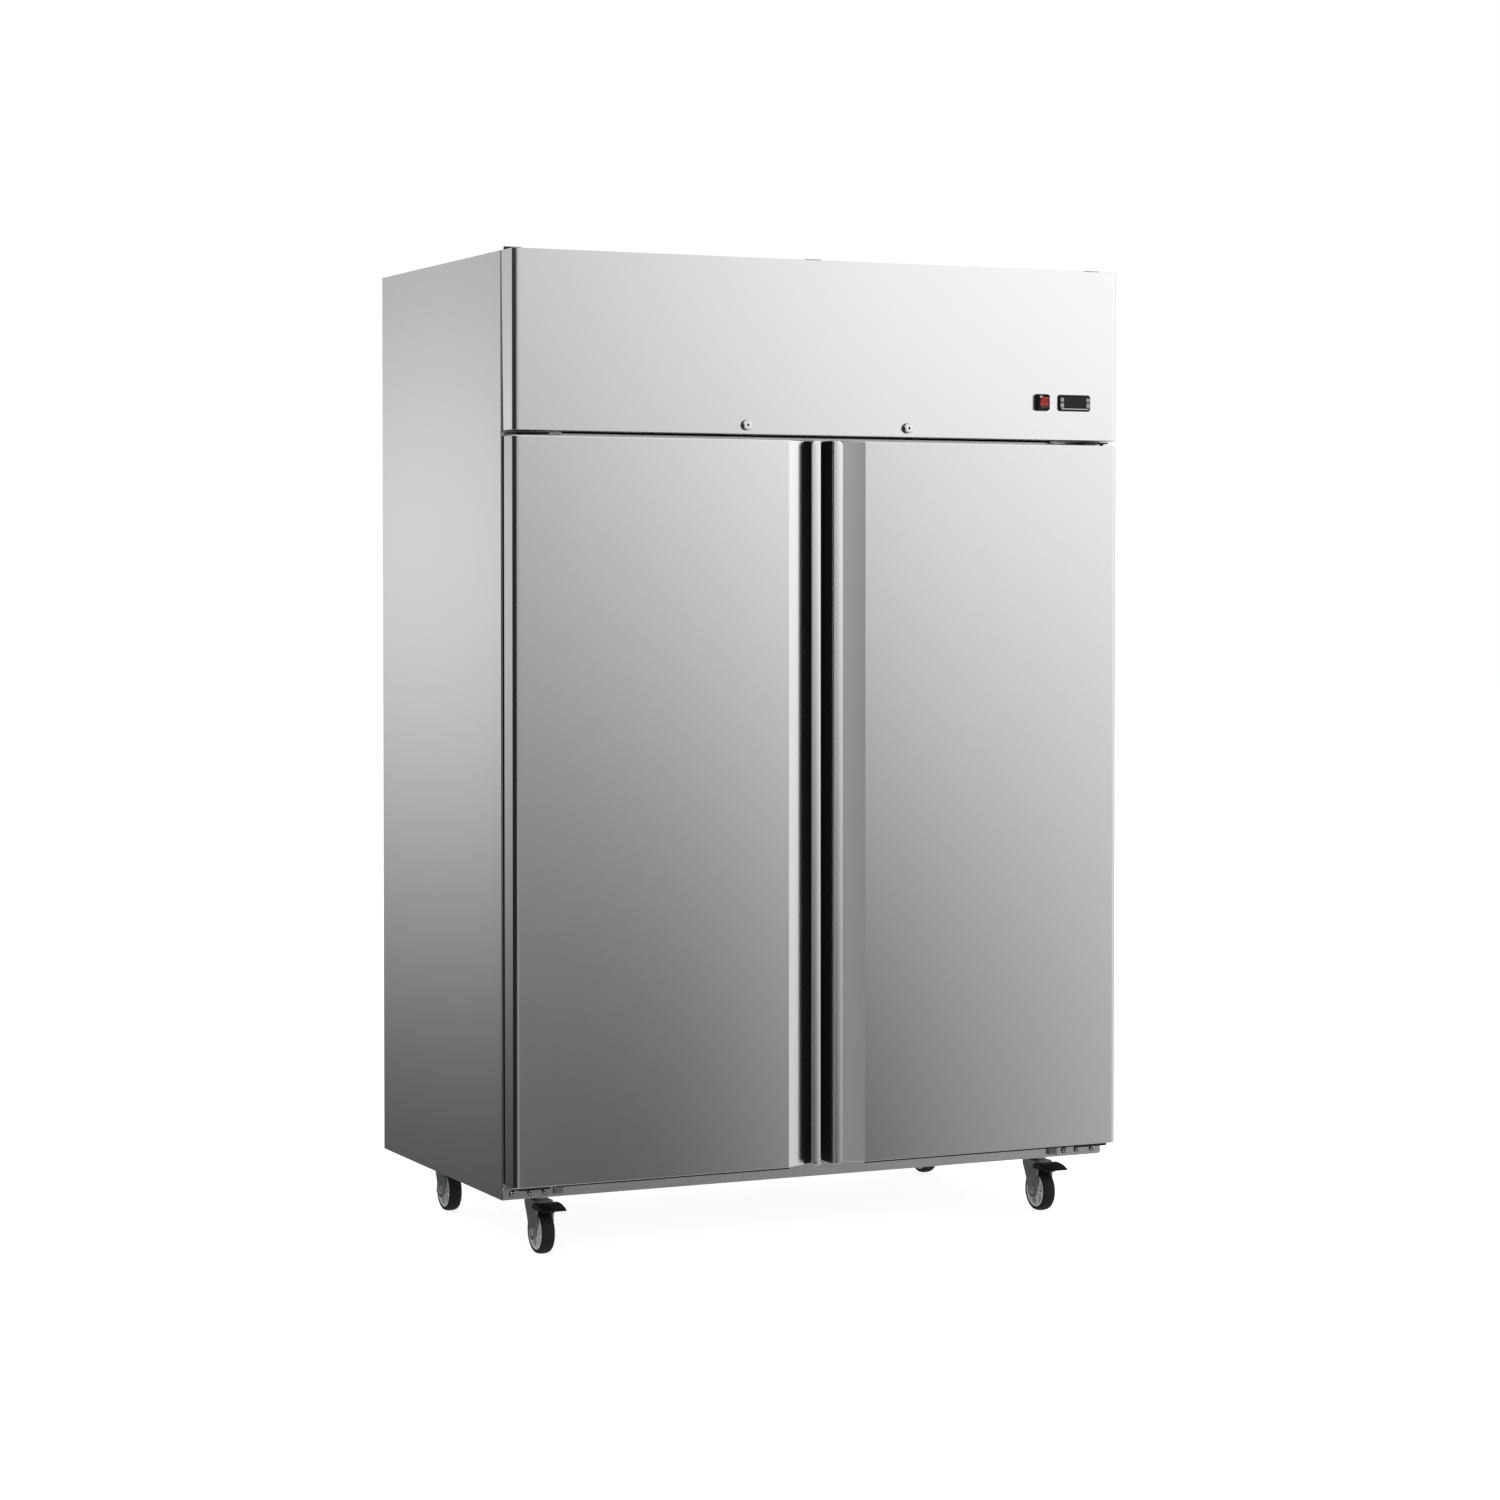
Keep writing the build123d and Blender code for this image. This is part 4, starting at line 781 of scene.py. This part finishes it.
def front_tray(looks):
    """Flip-up front panel: face with rounded upright edges, tapering side returns, top and bottom."""
    lo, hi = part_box("front_panel")
    r = EDGE_R
    thick = 1.4 * MM
    gap_low = hi.y - 10 * MM
    rings = []
    for z, rear in ((lo.z, gap_low), (hi.z, hi.y)):
        outer = [(hi.x, rear)] + arc((hi.x - r, lo.y + r), r, 0, -90, 8)
        inner = arc((hi.x - r, lo.y + r), r - thick, -90, 0, 8) + [(hi.x - thick, rear)]
        mirror_out = [(-x, y) for x, y in reversed(outer)]
        mirror_in = [(-x, y) for x, y in reversed(inner)]
        rings.append([(x, y, z) for x, y in outer + mirror_out + mirror_in + inner])
    tray = Piece("front_tray").loft(rings)
    tray.done(looks["panel"], "flip_panel", ("front_panel",), bevel=0.6 * MM, smooth=30, slot="brushed_steel")
    piece = Piece("front_tray_flanges")
    fold = arc((hi.x - r, lo.y + r), r - thick, 0, -90, 6)
    for z, rear in ((lo.z, gap_low), (hi.z - thick, hi.y - 1 * MM)):
        span = (z, z + thick)
        front = SLOT_Y[0] if z == lo.z else rear
        outline = [(hi.x - thick, front)] + fold
        piece.prism(outline + [(-x, y) for x, y in reversed(outline)], "Z", span)
    inner = hi.x - thick
    for x0, x1 in ((-inner, -SLOT_X[1]), (-SLOT_X[0], SLOT_X[0]), (SLOT_X[1], inner)):
        piece.box((x0, SLOT_Y[0], lo.z), (x1, SLOT_Y[1], lo.z + thick))
    piece.box((-inner, SLOT_Y[1], lo.z), (inner, gap_low, lo.z + thick))
    y0, y1 = lo.y + thick, lo.y + thick + 8 * MM
    for x in (-330 * MM, 330 * MM):
        piece.box((x - 20 * MM, y0, lo.z + 30 * MM), (x + 20 * MM, y1, hi.z - 30 * MM))
    piece.done(looks["fitting"], "flip_panel", bevel=0.4 * MM, slot="brushed_steel")


# ---- door hinges and bolts ----
HINGE_X = 662 * MM
BRACKET_INNER = 578 * MM
PLATE_INNER = 558 * MM
ARM_INNER = 600 * MM
BOLT_SPOTS = (596 * MM, 627 * MM, 665 * MM)
BOLT_Z = 138 * MM
ARM_LOW_Z = (151.2 * MM, 155.4 * MM)
ARM_TOP_Z = (1645 * MM, 1648 * MM)


def hinge_arms(looks):
    """Arms that carry the door pins, black as painted shade, steel plates that hold them, and the hinge
    leaves above.
    """
    top_z = high("hinge_brackets").z
    y0, y1 = FRONT_Y + 11 * MM, FACE_Y
    outer = HALF - 14 * MM
    pin_y = FACE_Y - 42 * MM
    arms = Piece("hinge_arms")
    plan = [(ARM_INNER, y1), (ARM_INNER, y0 + 14 * MM)]
    plan += arc((ARM_INNER + 14 * MM, y0 + 14 * MM), 14 * MM, 180, 270, 5)[1:]
    plan += arc((outer - 6 * MM, y0 + 6 * MM), 6 * MM, 270, 360, 4) + [(outer, y1)]
    for span in (ARM_LOW_Z, ARM_TOP_Z):
        arms.prism(plan, "Z", span)
    for foot, profile in ((ARM_LOW_Z[1] - 1 * MM, mm((0, 4), (11, 4), (12, 3))),
                          (ARM_LOW_Z[1], mm((0, 7), (1.8, 7))),
                          (ARM_TOP_Z[0] - 12 * MM, mm((0, 3), (1, 4), (12, 4)))):
        arms.lathe(profile, "Z", (HINGE_X, pin_y, foot), 24)
    arms.mirrored()
    # painted shade: the arms take the black coated look for the shadow they sit in
    arms.done(looks["black_steel"], "cabinet", ("hinge_brackets",), bevel=0.5 * MM, slot="dark_steel")

    plates = Piece("hinge_plates")
    drop = rounded(((BRACKET_INNER + HALF) / 2, BOLT_Z), (HALF - BRACKET_INNER, 22 * MM), 2 * MM, 3)
    plates.loft([[(x, y, z) for x, z in drop] for y in (FACE_Y - 3 * MM, FACE_Y)])
    plates.box((PLATE_INNER, FACE_Y - 14 * MM, 1645.2 * MM), (ARM_INNER + 1 * MM, FACE_Y, 1647.8 * MM))
    plates.box((PLATE_INNER, FACE_Y - 3 * MM, 1648 * MM), (HALF - 2 * MM, FACE_Y, 1688 * MM))
    plates.mirrored().done(looks["fitting"], "cabinet", bevel=0.6 * MM, slot="brushed_steel")

    shims = Piece("hinge_shims")
    shims.box((PLATE_INNER, FACE_Y - 6.6 * MM, 131 * MM), (BRACKET_INNER - 0.6 * MM, FACE_Y, 152 * MM))
    x0, x1 = PLATE_INNER + 2.5 * MM, BRACKET_INNER - 3 * MM
    for k in range(4):
        z = (134 + 4.6 * k) * MM
        shims.box((x0, FACE_Y - 7 * MM, z), (x1, FACE_Y - 6 * MM, z + 2 * MM))
    shims.mirrored().done(looks["case_grey"], "cabinet", bevel=0.5 * MM, slot="dark_steel")

    leaves = Piece("panel_hinge_backs")
    z0, z1 = top_z - 8 * MM, top_z - 6.2 * MM
    for x in (-661 * MM, 0, 661 * MM):
        for half, y0, y1 in mm((18, 5, 28), (6, 0, 5)):
            leaves.box((x - half, FACE_Y + y0, z0), (x + half, FACE_Y + y1, z1))
        barrel = (x, FACE_Y, top_z - 4 * MM)
        leaves.lathe(mm((-6, 4), (6, 4)), "X", barrel, 20)
        leaves.lathe(mm((-18, 1.5), (18, 1.5)), "X", barrel, 12)
        for aside in (-10 * MM, 10 * MM):
            screw = (x + aside, FACE_Y + 18 * MM, z1)
            leaves.lathe(mm((0, 3), (0.9, 2.6), (1.3, 1.2)), "Z", screw, 16)
    leaves.done(looks["black_steel"], "cabinet", bevel=0.3 * MM, slot="dark_steel")


def socket_bolt(piece, centre):
    """Round head with a dished top and a hexagon socket, facing the front."""
    x, y, z = centre
    profile = ((0, 5.5), (-1.6, 5.5), (-2.9, 5.0), (-3.7, 4.0), (-4.0, 3.0))
    rings = [[(x + r * MM * sin(t), y + a * MM, z + r * MM * cos(t))
              for t in (2 * pi * k / 24 for k in range(24))] for a, r in profile]
    flat = []
    for k in range(24):
        t = 2 * pi * k / 24
        reach = 2.4 * MM * cos(pi / 6) / cos((t % (pi / 3)) - pi / 6)
        flat.append((reach * sin(t), reach * cos(t)))
    for a in (-4.0, -1.4):
        rings.append([(x + u, y + a * MM, z + w) for u, w in flat])
    return piece.loft(rings)


def bolts(looks):
    heads, shade = Piece("bracket_bolt_heads"), Piece("bracket_bolt_painted_shade")
    for x in BOLT_SPOTS:
        seat = (x, FACE_Y - 3 * MM, BOLT_Z)
        socket_bolt(heads, seat)
        # painted shade: a thin black washer ring round each head's foot, where the head meets the plate
        shade.ring_lathe(mm((0, 5), (0, 7), (-0.9, 7), (-0.9, 5)), "Y", seat, 24)
        # painted shade: a black hexagon at the bottom of each socket
        shade.prism(polygon((BOLT_Z, x), 2.2 * MM, 6), "Y", (seat[1] - 2.1 * MM, seat[1] - 1.3 * MM))
    # the black coated look here is painted shade
    shade.mirrored().done(looks["black_steel"], "cabinet", bevel=0.15 * MM, slot="dark_steel")
    for corner in ("front_right", "rear_right"):
        x, y = caster_pivot(corner)
        for i, j in ((-1, -1), (-1, 1), (1, -1), (1, 1)):
            hole = (x + i * 40 * MM, y + j * 32 * MM)
            for radius, sides, z0, z1 in ((6.5, 6, 117, 121), (8, 24, 121, 122.2), (3.6, 12, 115.5, 117)):
                heads.prism(polygon(hole, radius * MM, sides), "Z", (z0 * MM, z1 * MM))
    heads.mirrored().done(looks["bolt"], "cabinet", ("bracket_bolts",), bevel=0.25 * MM, slot="bolt")


# ---- locks, switch and controller ----
LOCK_RING = ((-6.6, 7.08), (-8.3, 7.08), (-9.0, 7.7), (-9.0, 8.6), (-8.4, 9.5), (-7.4, 9.9), (-6.6, 9.9))
LOCK_COLLAR = ((0, 7.08), (-6.6, 7.08), (-6.6, 9.7), (-6.0, 10.3), (-1.0, 10.5), (0, 10.5))


def locks(looks):
    rings, collars = Piece("lock_rings"), Piece("lock_collars")
    for side in ("left", "right"):
        x = side_sign(side) * LOCK_X
        centre = (x, FRONT_Y, LOCK_Z)
        rings.ring_lathe(mm(*LOCK_RING), "Y", centre)
        # painted shade: the collars are black so their side shows the dark crescent that shade puts on one
        # side of each lock
        collars.ring_lathe(mm(*LOCK_COLLAR), "Y", centre)
        collars.ring_lathe(mm((0, 7.08), (22, 7.08), (22, 9.5), (0, 9.5)), "Y", centre, 36)
        face = low(f"lock_plug_{side}").y
        # painted shade: a black disc on the plug's face, with a slot behind it, where the keyhole is dark
        keyhole_shade = Piece(f"lock_keyway_{side}")
        keyhole_shade.prism(polygon((LOCK_Z, x), 2.6 * MM, 20), "Y", (face - 0.15 * MM, face + 0.3 * MM))
        y0, y1 = face + 0.3 * MM, face + 5 * MM
        keyhole_shade.box((x - 0.8 * MM, y0, LOCK_Z - 4 * MM), (x + 0.8 * MM, y1, LOCK_Z + 4 * MM))
        keyhole_shade.done(looks["black"], f"lock_{side}", slot="black_plastic")
    rings.done(looks["chrome"], "flip_panel", ("lock_barrels",), bevel=0.15 * MM, smooth=24, slot="chrome")
    # the black coated look on the collars is painted shade
    collars.done(looks["black_steel"], "flip_panel", bevel=0.15 * MM, smooth=24, slot="dark_steel")
    nuts = Piece("lock_nuts")
    for x in (-LOCK_X, LOCK_X):
        nuts.prism(polygon((LOCK_Z, x), 14 * MM, 6), "Y", (FRONT_Y + 2 * MM, FRONT_Y + 7 * MM))
    nuts.done(looks["fitting"], "flip_panel", bevel=0.4 * MM, slot="brushed_steel")


def controller(looks):
    lo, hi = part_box("controller_case")
    front = lo.y
    wide, tall = hi.x - lo.x, hi.z - lo.z

    def at(u, v):
        return lo.x + wide * u, lo.z + tall * v

    def plate(name, u, v, depth, look, radius, slot_name):
        (x0, z0), (x1, z1) = at(u[0], v[0]), at(u[1], v[1])
        outline = rounded(((x0 + x1) / 2, (z0 + z1) / 2), (x1 - x0, z1 - z0), radius, 4)
        rings = [[(x, y, z) for x, z in outline] for y in (front - depth, front + 0.5 * MM)]
        Piece(name).loft(rings).done(looks[look], "flip_panel", bevel=0.2 * MM, slot=slot_name)

    plate("display_window", (0.19, 0.82), (0.24, 0.86), 0.35 * MM, "window", 1.5 * MM, "black_plastic")
    plate("display_trim", (0.07, 0.93), (0.115, 0.165), 0.5 * MM, "fitting", 0.7 * MM, "chrome")


# ---- casters ----
RIM = 36.5 * MM
AXLE = 5 * MM
RIB_TURN = 0.26


def tyre(corner, looks):
    lo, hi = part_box(f"tyre_{corner}")
    centre = (lo + hi) / 2
    half, radius = (hi.x - lo.x) / 2, (hi.z - lo.z) / 2
    crown = 7 * MM
    profile = [(-half + 1 * MM, RIM), (-half + 0.2 * MM, RIM + 0.4 * MM), (-half, RIM + 1 * MM)]
    for k in range(13):
        t = pi * k / 12
        profile.append((-half * cos(t), radius - crown + crown * sin(t) ** 0.62))
    profile += [(half, RIM + 1 * MM), (half - 0.2 * MM, RIM + 0.4 * MM), (half - 1 * MM, RIM)]
    piece = Piece(f"tyre_tread_{corner}").ring_lathe(profile, "X", centre, 72)
    piece.done(looks["tyre"], f"wheel_{corner}", (f"tyre_{corner}",), smooth=50, slot="tyre")


def hub(corner, looks):
    lo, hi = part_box(f"wheel_hub_{corner}")
    centre = (lo + hi) / 2
    half = (hi.x - lo.x) / 2
    piece = Piece(f"spoked_hub_{corner}")
    ring = ((-half, RIM - 5 * MM), (-half, RIM - 0.3 * MM), (half, RIM - 0.3 * MM), (half, RIM - 5 * MM),
            (half - 3 * MM, RIM - 6.5 * MM), (-half + 3 * MM, RIM - 6.5 * MM))
    piece.ring_lathe(ring, "X", centre, 60)
    boss = ((-half, AXLE), (-half, 12 * MM), (-half + 3 * MM, 13.5 * MM), (half - 3 * MM, 13.5 * MM),
            (half, 12 * MM), (half, AXLE))
    piece.ring_lathe(boss, "X", centre, 36)
    web = ((-2 * MM, 12 * MM), (-2 * MM, RIM - 5 * MM), (2 * MM, RIM - 5 * MM), (2 * MM, 12 * MM))
    piece.ring_lathe(web, "X", centre, 60)
    rib = mm((12.5, 6.0), (16.5, 3.6), (21.5, 2.7), (26.5, 3.8), (31.5, 8.0))
    outline = rib + [(r, -w) for r, w in reversed(rib)]
    for k in range(6):
        turn = 2 * pi * k / 6 + RIB_TURN
        turned = [(centre.y + r * cos(turn) - w * sin(turn), centre.z + r * sin(turn) + w * cos(turn))
                  for r, w in outline]
        piece.prism(turned, "X", (centre.x - half + 1.5 * MM, centre.x + half - 1.5 * MM))
    piece.done(looks["hub"], f"wheel_{corner}", (f"wheel_hub_{corner}",), bevel=0.5 * MM, slot="hub")


def side_view(y, *points):
    """Points in millimetres, behind y and above the floor."""
    return [(y + a * MM, b * MM) for a, b in points]


def fork(corner, looks):
    wheel = middle(f"tyre_{corner}")
    body = f"caster_{corner}"
    x, y = caster_pivot(corner)
    toe = arc((wheel.y, wheel.z), 17 * MM, 180, 360, 12)
    leg = side_view(y, (-45, 106), (-44.6, 84)) + toe + side_view(y, (6, 78), (17, 98), (17, 106))
    flange = side_view(y, (-45, 106), (-42.2, 106), (-42.0, 82), (-39.6, 58), (-42.4, 56), (-44.6, 84))
    piece = Piece(f"caster_fork_{corner}")
    for side in (-1, 1):
        piece.prism(leg, "X", (x + side * 17.2 * MM, x + side * 20 * MM))
        piece.prism(flange, "X", (x + side * 14.9 * MM, x + side * 17.4 * MM))
    piece.loft([[(a, b, z * MM) for a, b in rounded((x, y - 14 * MM), (40 * MM, 62 * MM), 7 * MM, 5)]
                for z in (105.8, 109)])
    race = mm((109, 17), (109, 23), (109.8, 24), (111.5, 24.2), (113, 23.4), (113.6, 22), (115, 21.6))
    piece.lathe(race, "Z", (x, y, 0))
    piece.done(looks["caster"], body, (f"fork_{corner}",), bevel=0.5 * MM, smooth=40, slot="caster_steel")

    nuts = Piece(f"axle_nuts_{corner}")
    for side in (-1, 1):
        face = x + side * 20 * MM
        nuts.prism(polygon((wheel.y, wheel.z), 9.5 * MM, 28), "X", (face, face + side * 1.2 * MM))
        nuts.prism(polygon((wheel.y, wheel.z), 8 * MM, 6, 0.3), "X", (face, face + side * 5.4 * MM))
    nuts.prism(polygon((wheel.y, wheel.z), 4.6 * MM, 20), "X", (x - 28 * MM, x + 22 * MM))
    nuts.done(looks["bolt"], body, bevel=0.4 * MM, slot="bolt")


def brake_pedal(corner, looks):
    x, y = caster_pivot(corner)
    tread = side_view(y, (-47, 102), (-47, 106.4), (-60, 106.4), (-74, 105.0), (-86, 102.0), (-96.4, 97.6),
                      (-97, 95.8), (-95.4, 94.8), (-86, 98.4), (-74, 101.2), (-60, 102.2))
    piece = Piece(f"brake_tread_{corner}").prism(tread, "X", (x - 26.5 * MM, x + 26.5 * MM))
    skirt = side_view(y, (-47, 97), (-47, 105), (-60, 105), (-74, 103), (-88, 99), (-88, 97.4),
                      (-74, 95.6), (-56, 94))
    arm = side_view(y, (-36, 94.6), (-36, 103), (-52, 105.6), (-58, 98), (-46, 94))
    for side in (-1, 1):
        piece.prism(skirt, "X", (x + side * 24 * MM, x + side * 26.3 * MM))
        piece.prism(arm, "X", (x + side * 20.6 * MM, x + side * 24.4 * MM))
    for k in range(4):
        a, b = -76 - 4 * k, 105.2 - 1.35 * k
        rib = side_view(y, (a, b), (a + 1.6, b + 0.5), (a + 2.4, b - 2.4), (a + 0.4, b - 3))
        piece.prism(rib, "X", (x - 19 * MM, x + 19 * MM))
    pad = side_view(y, (-56, 87.5), (-56, 103), (-70, 102.5), (-71, 94), (-66, 87.5))
    piece.prism(pad, "X", (x - 13 * MM, x + 13 * MM))
    replaced = (f"brake_pedal_{corner}",)
    piece.done(looks["black"], f"pedal_{corner}", replaced, bevel=0.7 * MM, slot="black_plastic")


# ---- inside ----
SHELF_INNER = 47 * MM
LEVELS = (500 * MM, 810 * MM, 1120 * MM)


def wire_shelves(looks):
    lo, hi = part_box("wire_shelves")
    x0, x1 = SHELF_INNER + 3 * MM, hi.x - 3 * MM
    y0, y1 = lo.y + 3 * MM, hi.y - 3 * MM
    piece = Piece("wire_racks")
    for z in LEVELS:
        rim = [(x, y, z) for x, y in rounded(((x0 + x1) / 2, (y0 + y1) / 2), (x1 - x0, y1 - y0), 12 * MM, 4)]
        piece.tube(rim, 3 * MM, 10, closed=True)
        for k in (1, 2):
            y = y0 + (y1 - y0) * k / 3
            piece.tube([(x0, y, z - 1.5 * MM), (x1, y, z - 1.5 * MM)], 2.8 * MM, 8)
        for k in range(21):
            x = x0 + (x1 - x0) * (k + 1) / 22
            piece.tube([(x, y0, z + 1.2 * MM), (x, y1, z + 1.2 * MM)], 1.8 * MM, 8)
    piece.mirrored().done(looks["wire"], "cabinet", ("wire_shelves",), smooth=60, slot="wire")


def pilasters(looks):
    """Slotted uprights and the clips that carry the shelves."""
    lo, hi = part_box("shelf_supports")
    shelf_lo, shelf_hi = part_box("wire_shelves")
    wall = hi.x
    ends = (shelf_lo.y + 30 * MM, shelf_hi.y - 30 * MM)
    piece = Piece("slotted_uprights")

    def upright(corner, across, out):
        """across and out are unit steps along the strip's width and away from its wall."""
        def box(a0, a1, o1, z0, z1):
            p, q = corner + across * a0, corner + across * a1 + out * o1
            piece.box((min(p.x, q.x), min(p.y, q.y), z0), (max(p.x, q.x), max(p.y, q.y), z1))
        for a0, a1 in ((0, 6 * MM), (12 * MM, 18 * MM)):
            box(a0, a1, 5 * MM, lo.z, hi.z)
        steps = int((hi.z - lo.z) / (25 * MM))
        for k in range(steps):
            z = lo.z + 25 * MM * k
            box(6 * MM, 12 * MM, 5 * MM, z, z + 15 * MM)

    ahead, right = Vector((0, 1, 0)), Vector((1, 0, 0))
    for y in ends:
        upright(Vector((wall, y - 9 * MM, 0)), ahead, -right)
    upright(Vector((40 * MM, FACE_Y + 34 * MM, 0)), ahead, right)
    upright(Vector((52 * MM, hi.y, 0)), right, -ahead)
    piece.mirrored().done(looks["liner"], "cabinet", ("shelf_supports",), slot="brushed_steel")

    clips = Piece("shelf_clips")
    for level in LEVELS:
        top = level - 3 * MM
        for y in ends:
            y0, y1 = y - 6 * MM, y + 6 * MM
            clips.box((wall - 17 * MM, y0, top - 2 * MM), (wall - 4 * MM, y1, top))
            clips.box((wall - 6.5 * MM, y0, top - 10 * MM), (wall - 4.5 * MM, y1, top + 4 * MM))
        front = FACE_Y + 37 * MM
        clips.box((44 * MM, front, top - 2 * MM), (57 * MM, front + 32 * MM, top))
        clips.box((44.5 * MM, front, top - 10 * MM), (46.5 * MM, front + 12 * MM, top + 2 * MM))
        clips.box((55 * MM, shelf_hi.y - 12 * MM, top - 2 * MM), (67 * MM, hi.y - 4 * MM, top))
        clips.box((55 * MM, hi.y - 6.5 * MM, top - 10 * MM), (67 * MM, hi.y - 4.5 * MM, top + 4 * MM))
    clips.mirrored().done(looks["fitting"], "cabinet", bevel=0.3 * MM, slot="brushed_steel")


def fan_guards(looks):
    """Wire rings over the evaporator fans."""
    cover = low("evaporator_cover")
    piece = Piece("fan_guards")
    for side in ("left", "right"):
        centre = middle(f"evaporator_fan_{side}")
        y = cover.y - 2.4 * MM

        def circle(radius, sides, y):
            return [(x, y, z) for x, z in polygon((centre.x, centre.z), radius * MM, sides)]

        for radius in (14, 26, 38, 50, 62, 69):
            piece.tube(circle(radius, 40, y), 1.1 * MM, 6, closed=True)
        for ends in zip(circle(14, 6, y - 1.6 * MM), circle(70, 6, y - 1.6 * MM)):
            piece.tube(ends, 1.1 * MM, 6)
    piece.done(looks["wire"], "cabinet", smooth=60, slot="wire")


# ---- back and top ----
def sheet_screws(looks):
    """Low round screw heads along the back sheets and the top cover."""
    piece = Piece("sheet_screws")
    profile = mm((0, 4.2), (0.5, 3.9), (0.9, 2.6), (1.0, 1.2))
    edge = HALF - 9 * MM
    heights = [(150 + 290 * k) * MM for k in range(6)] + [1680 * MM, 1840 * MM, 1990 * MM]
    for z in heights:
        for x in (-edge, edge):
            piece.lathe(profile, "Y", (x, BACK_Y, z), 18)
    for k in range(7):
        x = 0.94 * edge * (k - 3) / 3
        for z in (140 * MM, DECK_Z - 8 * MM, DECK_Z + 9 * MM):
            piece.lathe(profile, "Y", (x, BACK_Y, z), 18)
    top = high("top_cover").z
    for k in range(5):
        x = edge * (k - 2) / 2
        for y in (FACE_Y + 60 * MM, BACK_Y - 12 * MM):
            piece.lathe(profile, "Z", (x, y, top), 18)
    piece.done(looks["fitting"], "cabinet", smooth=50, slot="brushed_steel")


# ---- CAD shapes kept as they are ----
KEPT = {
    "rail": ("front_frame",),
    "zinc": ("back_panel", "rear_grille", "top_cover", "base_pan", "machine_deck", "control_box",
             "fan_shroud"),
    "foam": ("insulation_foam",),
    "liner": ("cabinet_liner",),
    "white": ("evaporator_cover",),
    "fins": ("evaporator_coil", "condenser_coil"),
    "black": ("evaporator_fan_left", "evaporator_fan_right", "condenser_fan", "cord_gland", "switch_bezel"),
    "enamel": ("compressor",),
    "copper": ("refrigerant_pipes",),
    "black_steel": ("panel_hinge_leaves",),
    "chrome": ("lock_plug_left", "lock_plug_right"),
    "red": ("power_rocker",),
    "case": ("controller_case",),
    "key": ("key_low_left", "key_low_right", "key_top_left", "key_top_right"),
    "caster": ("caster_plates",),
}
# millimetres
SOFT_EDGES = {"compressor": 1.5, "control_box": 0.8, "switch_bezel": 0.8, "controller_case": 0.7,
              "power_rocker": 0.7, "caster_plates": 0.5, "cord_gland": 0.5, "evaporator_cover": 0.5,
              "panel_hinge_leaves": 0.3, "top_cover": 0.4, "lock_plug_left": 0.2, "lock_plug_right": 0.2}


def dress(looks):
    for look, nodes in KEPT.items():
        for node in nodes:
            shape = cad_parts[node]
            for socket in shape.material_slots:
                socket.link = "OBJECT"
                socket.material = looks[look]
            if node in SOFT_EDGES:
                round_edges(shape, SOFT_EDGES[node] * MM, 40)


def main():
    make_camera()
    make_world()
    make_stage()
    looks = make_looks()
    dress(looks)
    for side in ("left", "right"):
        folded_side(side, looks)
        door_skin(side, looks)
        pull_painted_shade(side, looks)
        door_gasket(side, looks)
        door_lining(side, looks)
    frame_strips(looks)
    front_tray(looks)
    hinge_arms(looks)
    bolts(looks)
    locks(looks)
    controller(looks)
    for corner in ("front_left", "front_right", "rear_left", "rear_right"):
        tyre(corner, looks)
        hub(corner, looks)
        fork(corner, looks)
        if corner.startswith("front"):
            brake_pedal(corner, looks)
    wire_shelves(looks)
    pilasters(looks)
    fan_guards(looks)
    sheet_screws(looks)


main()
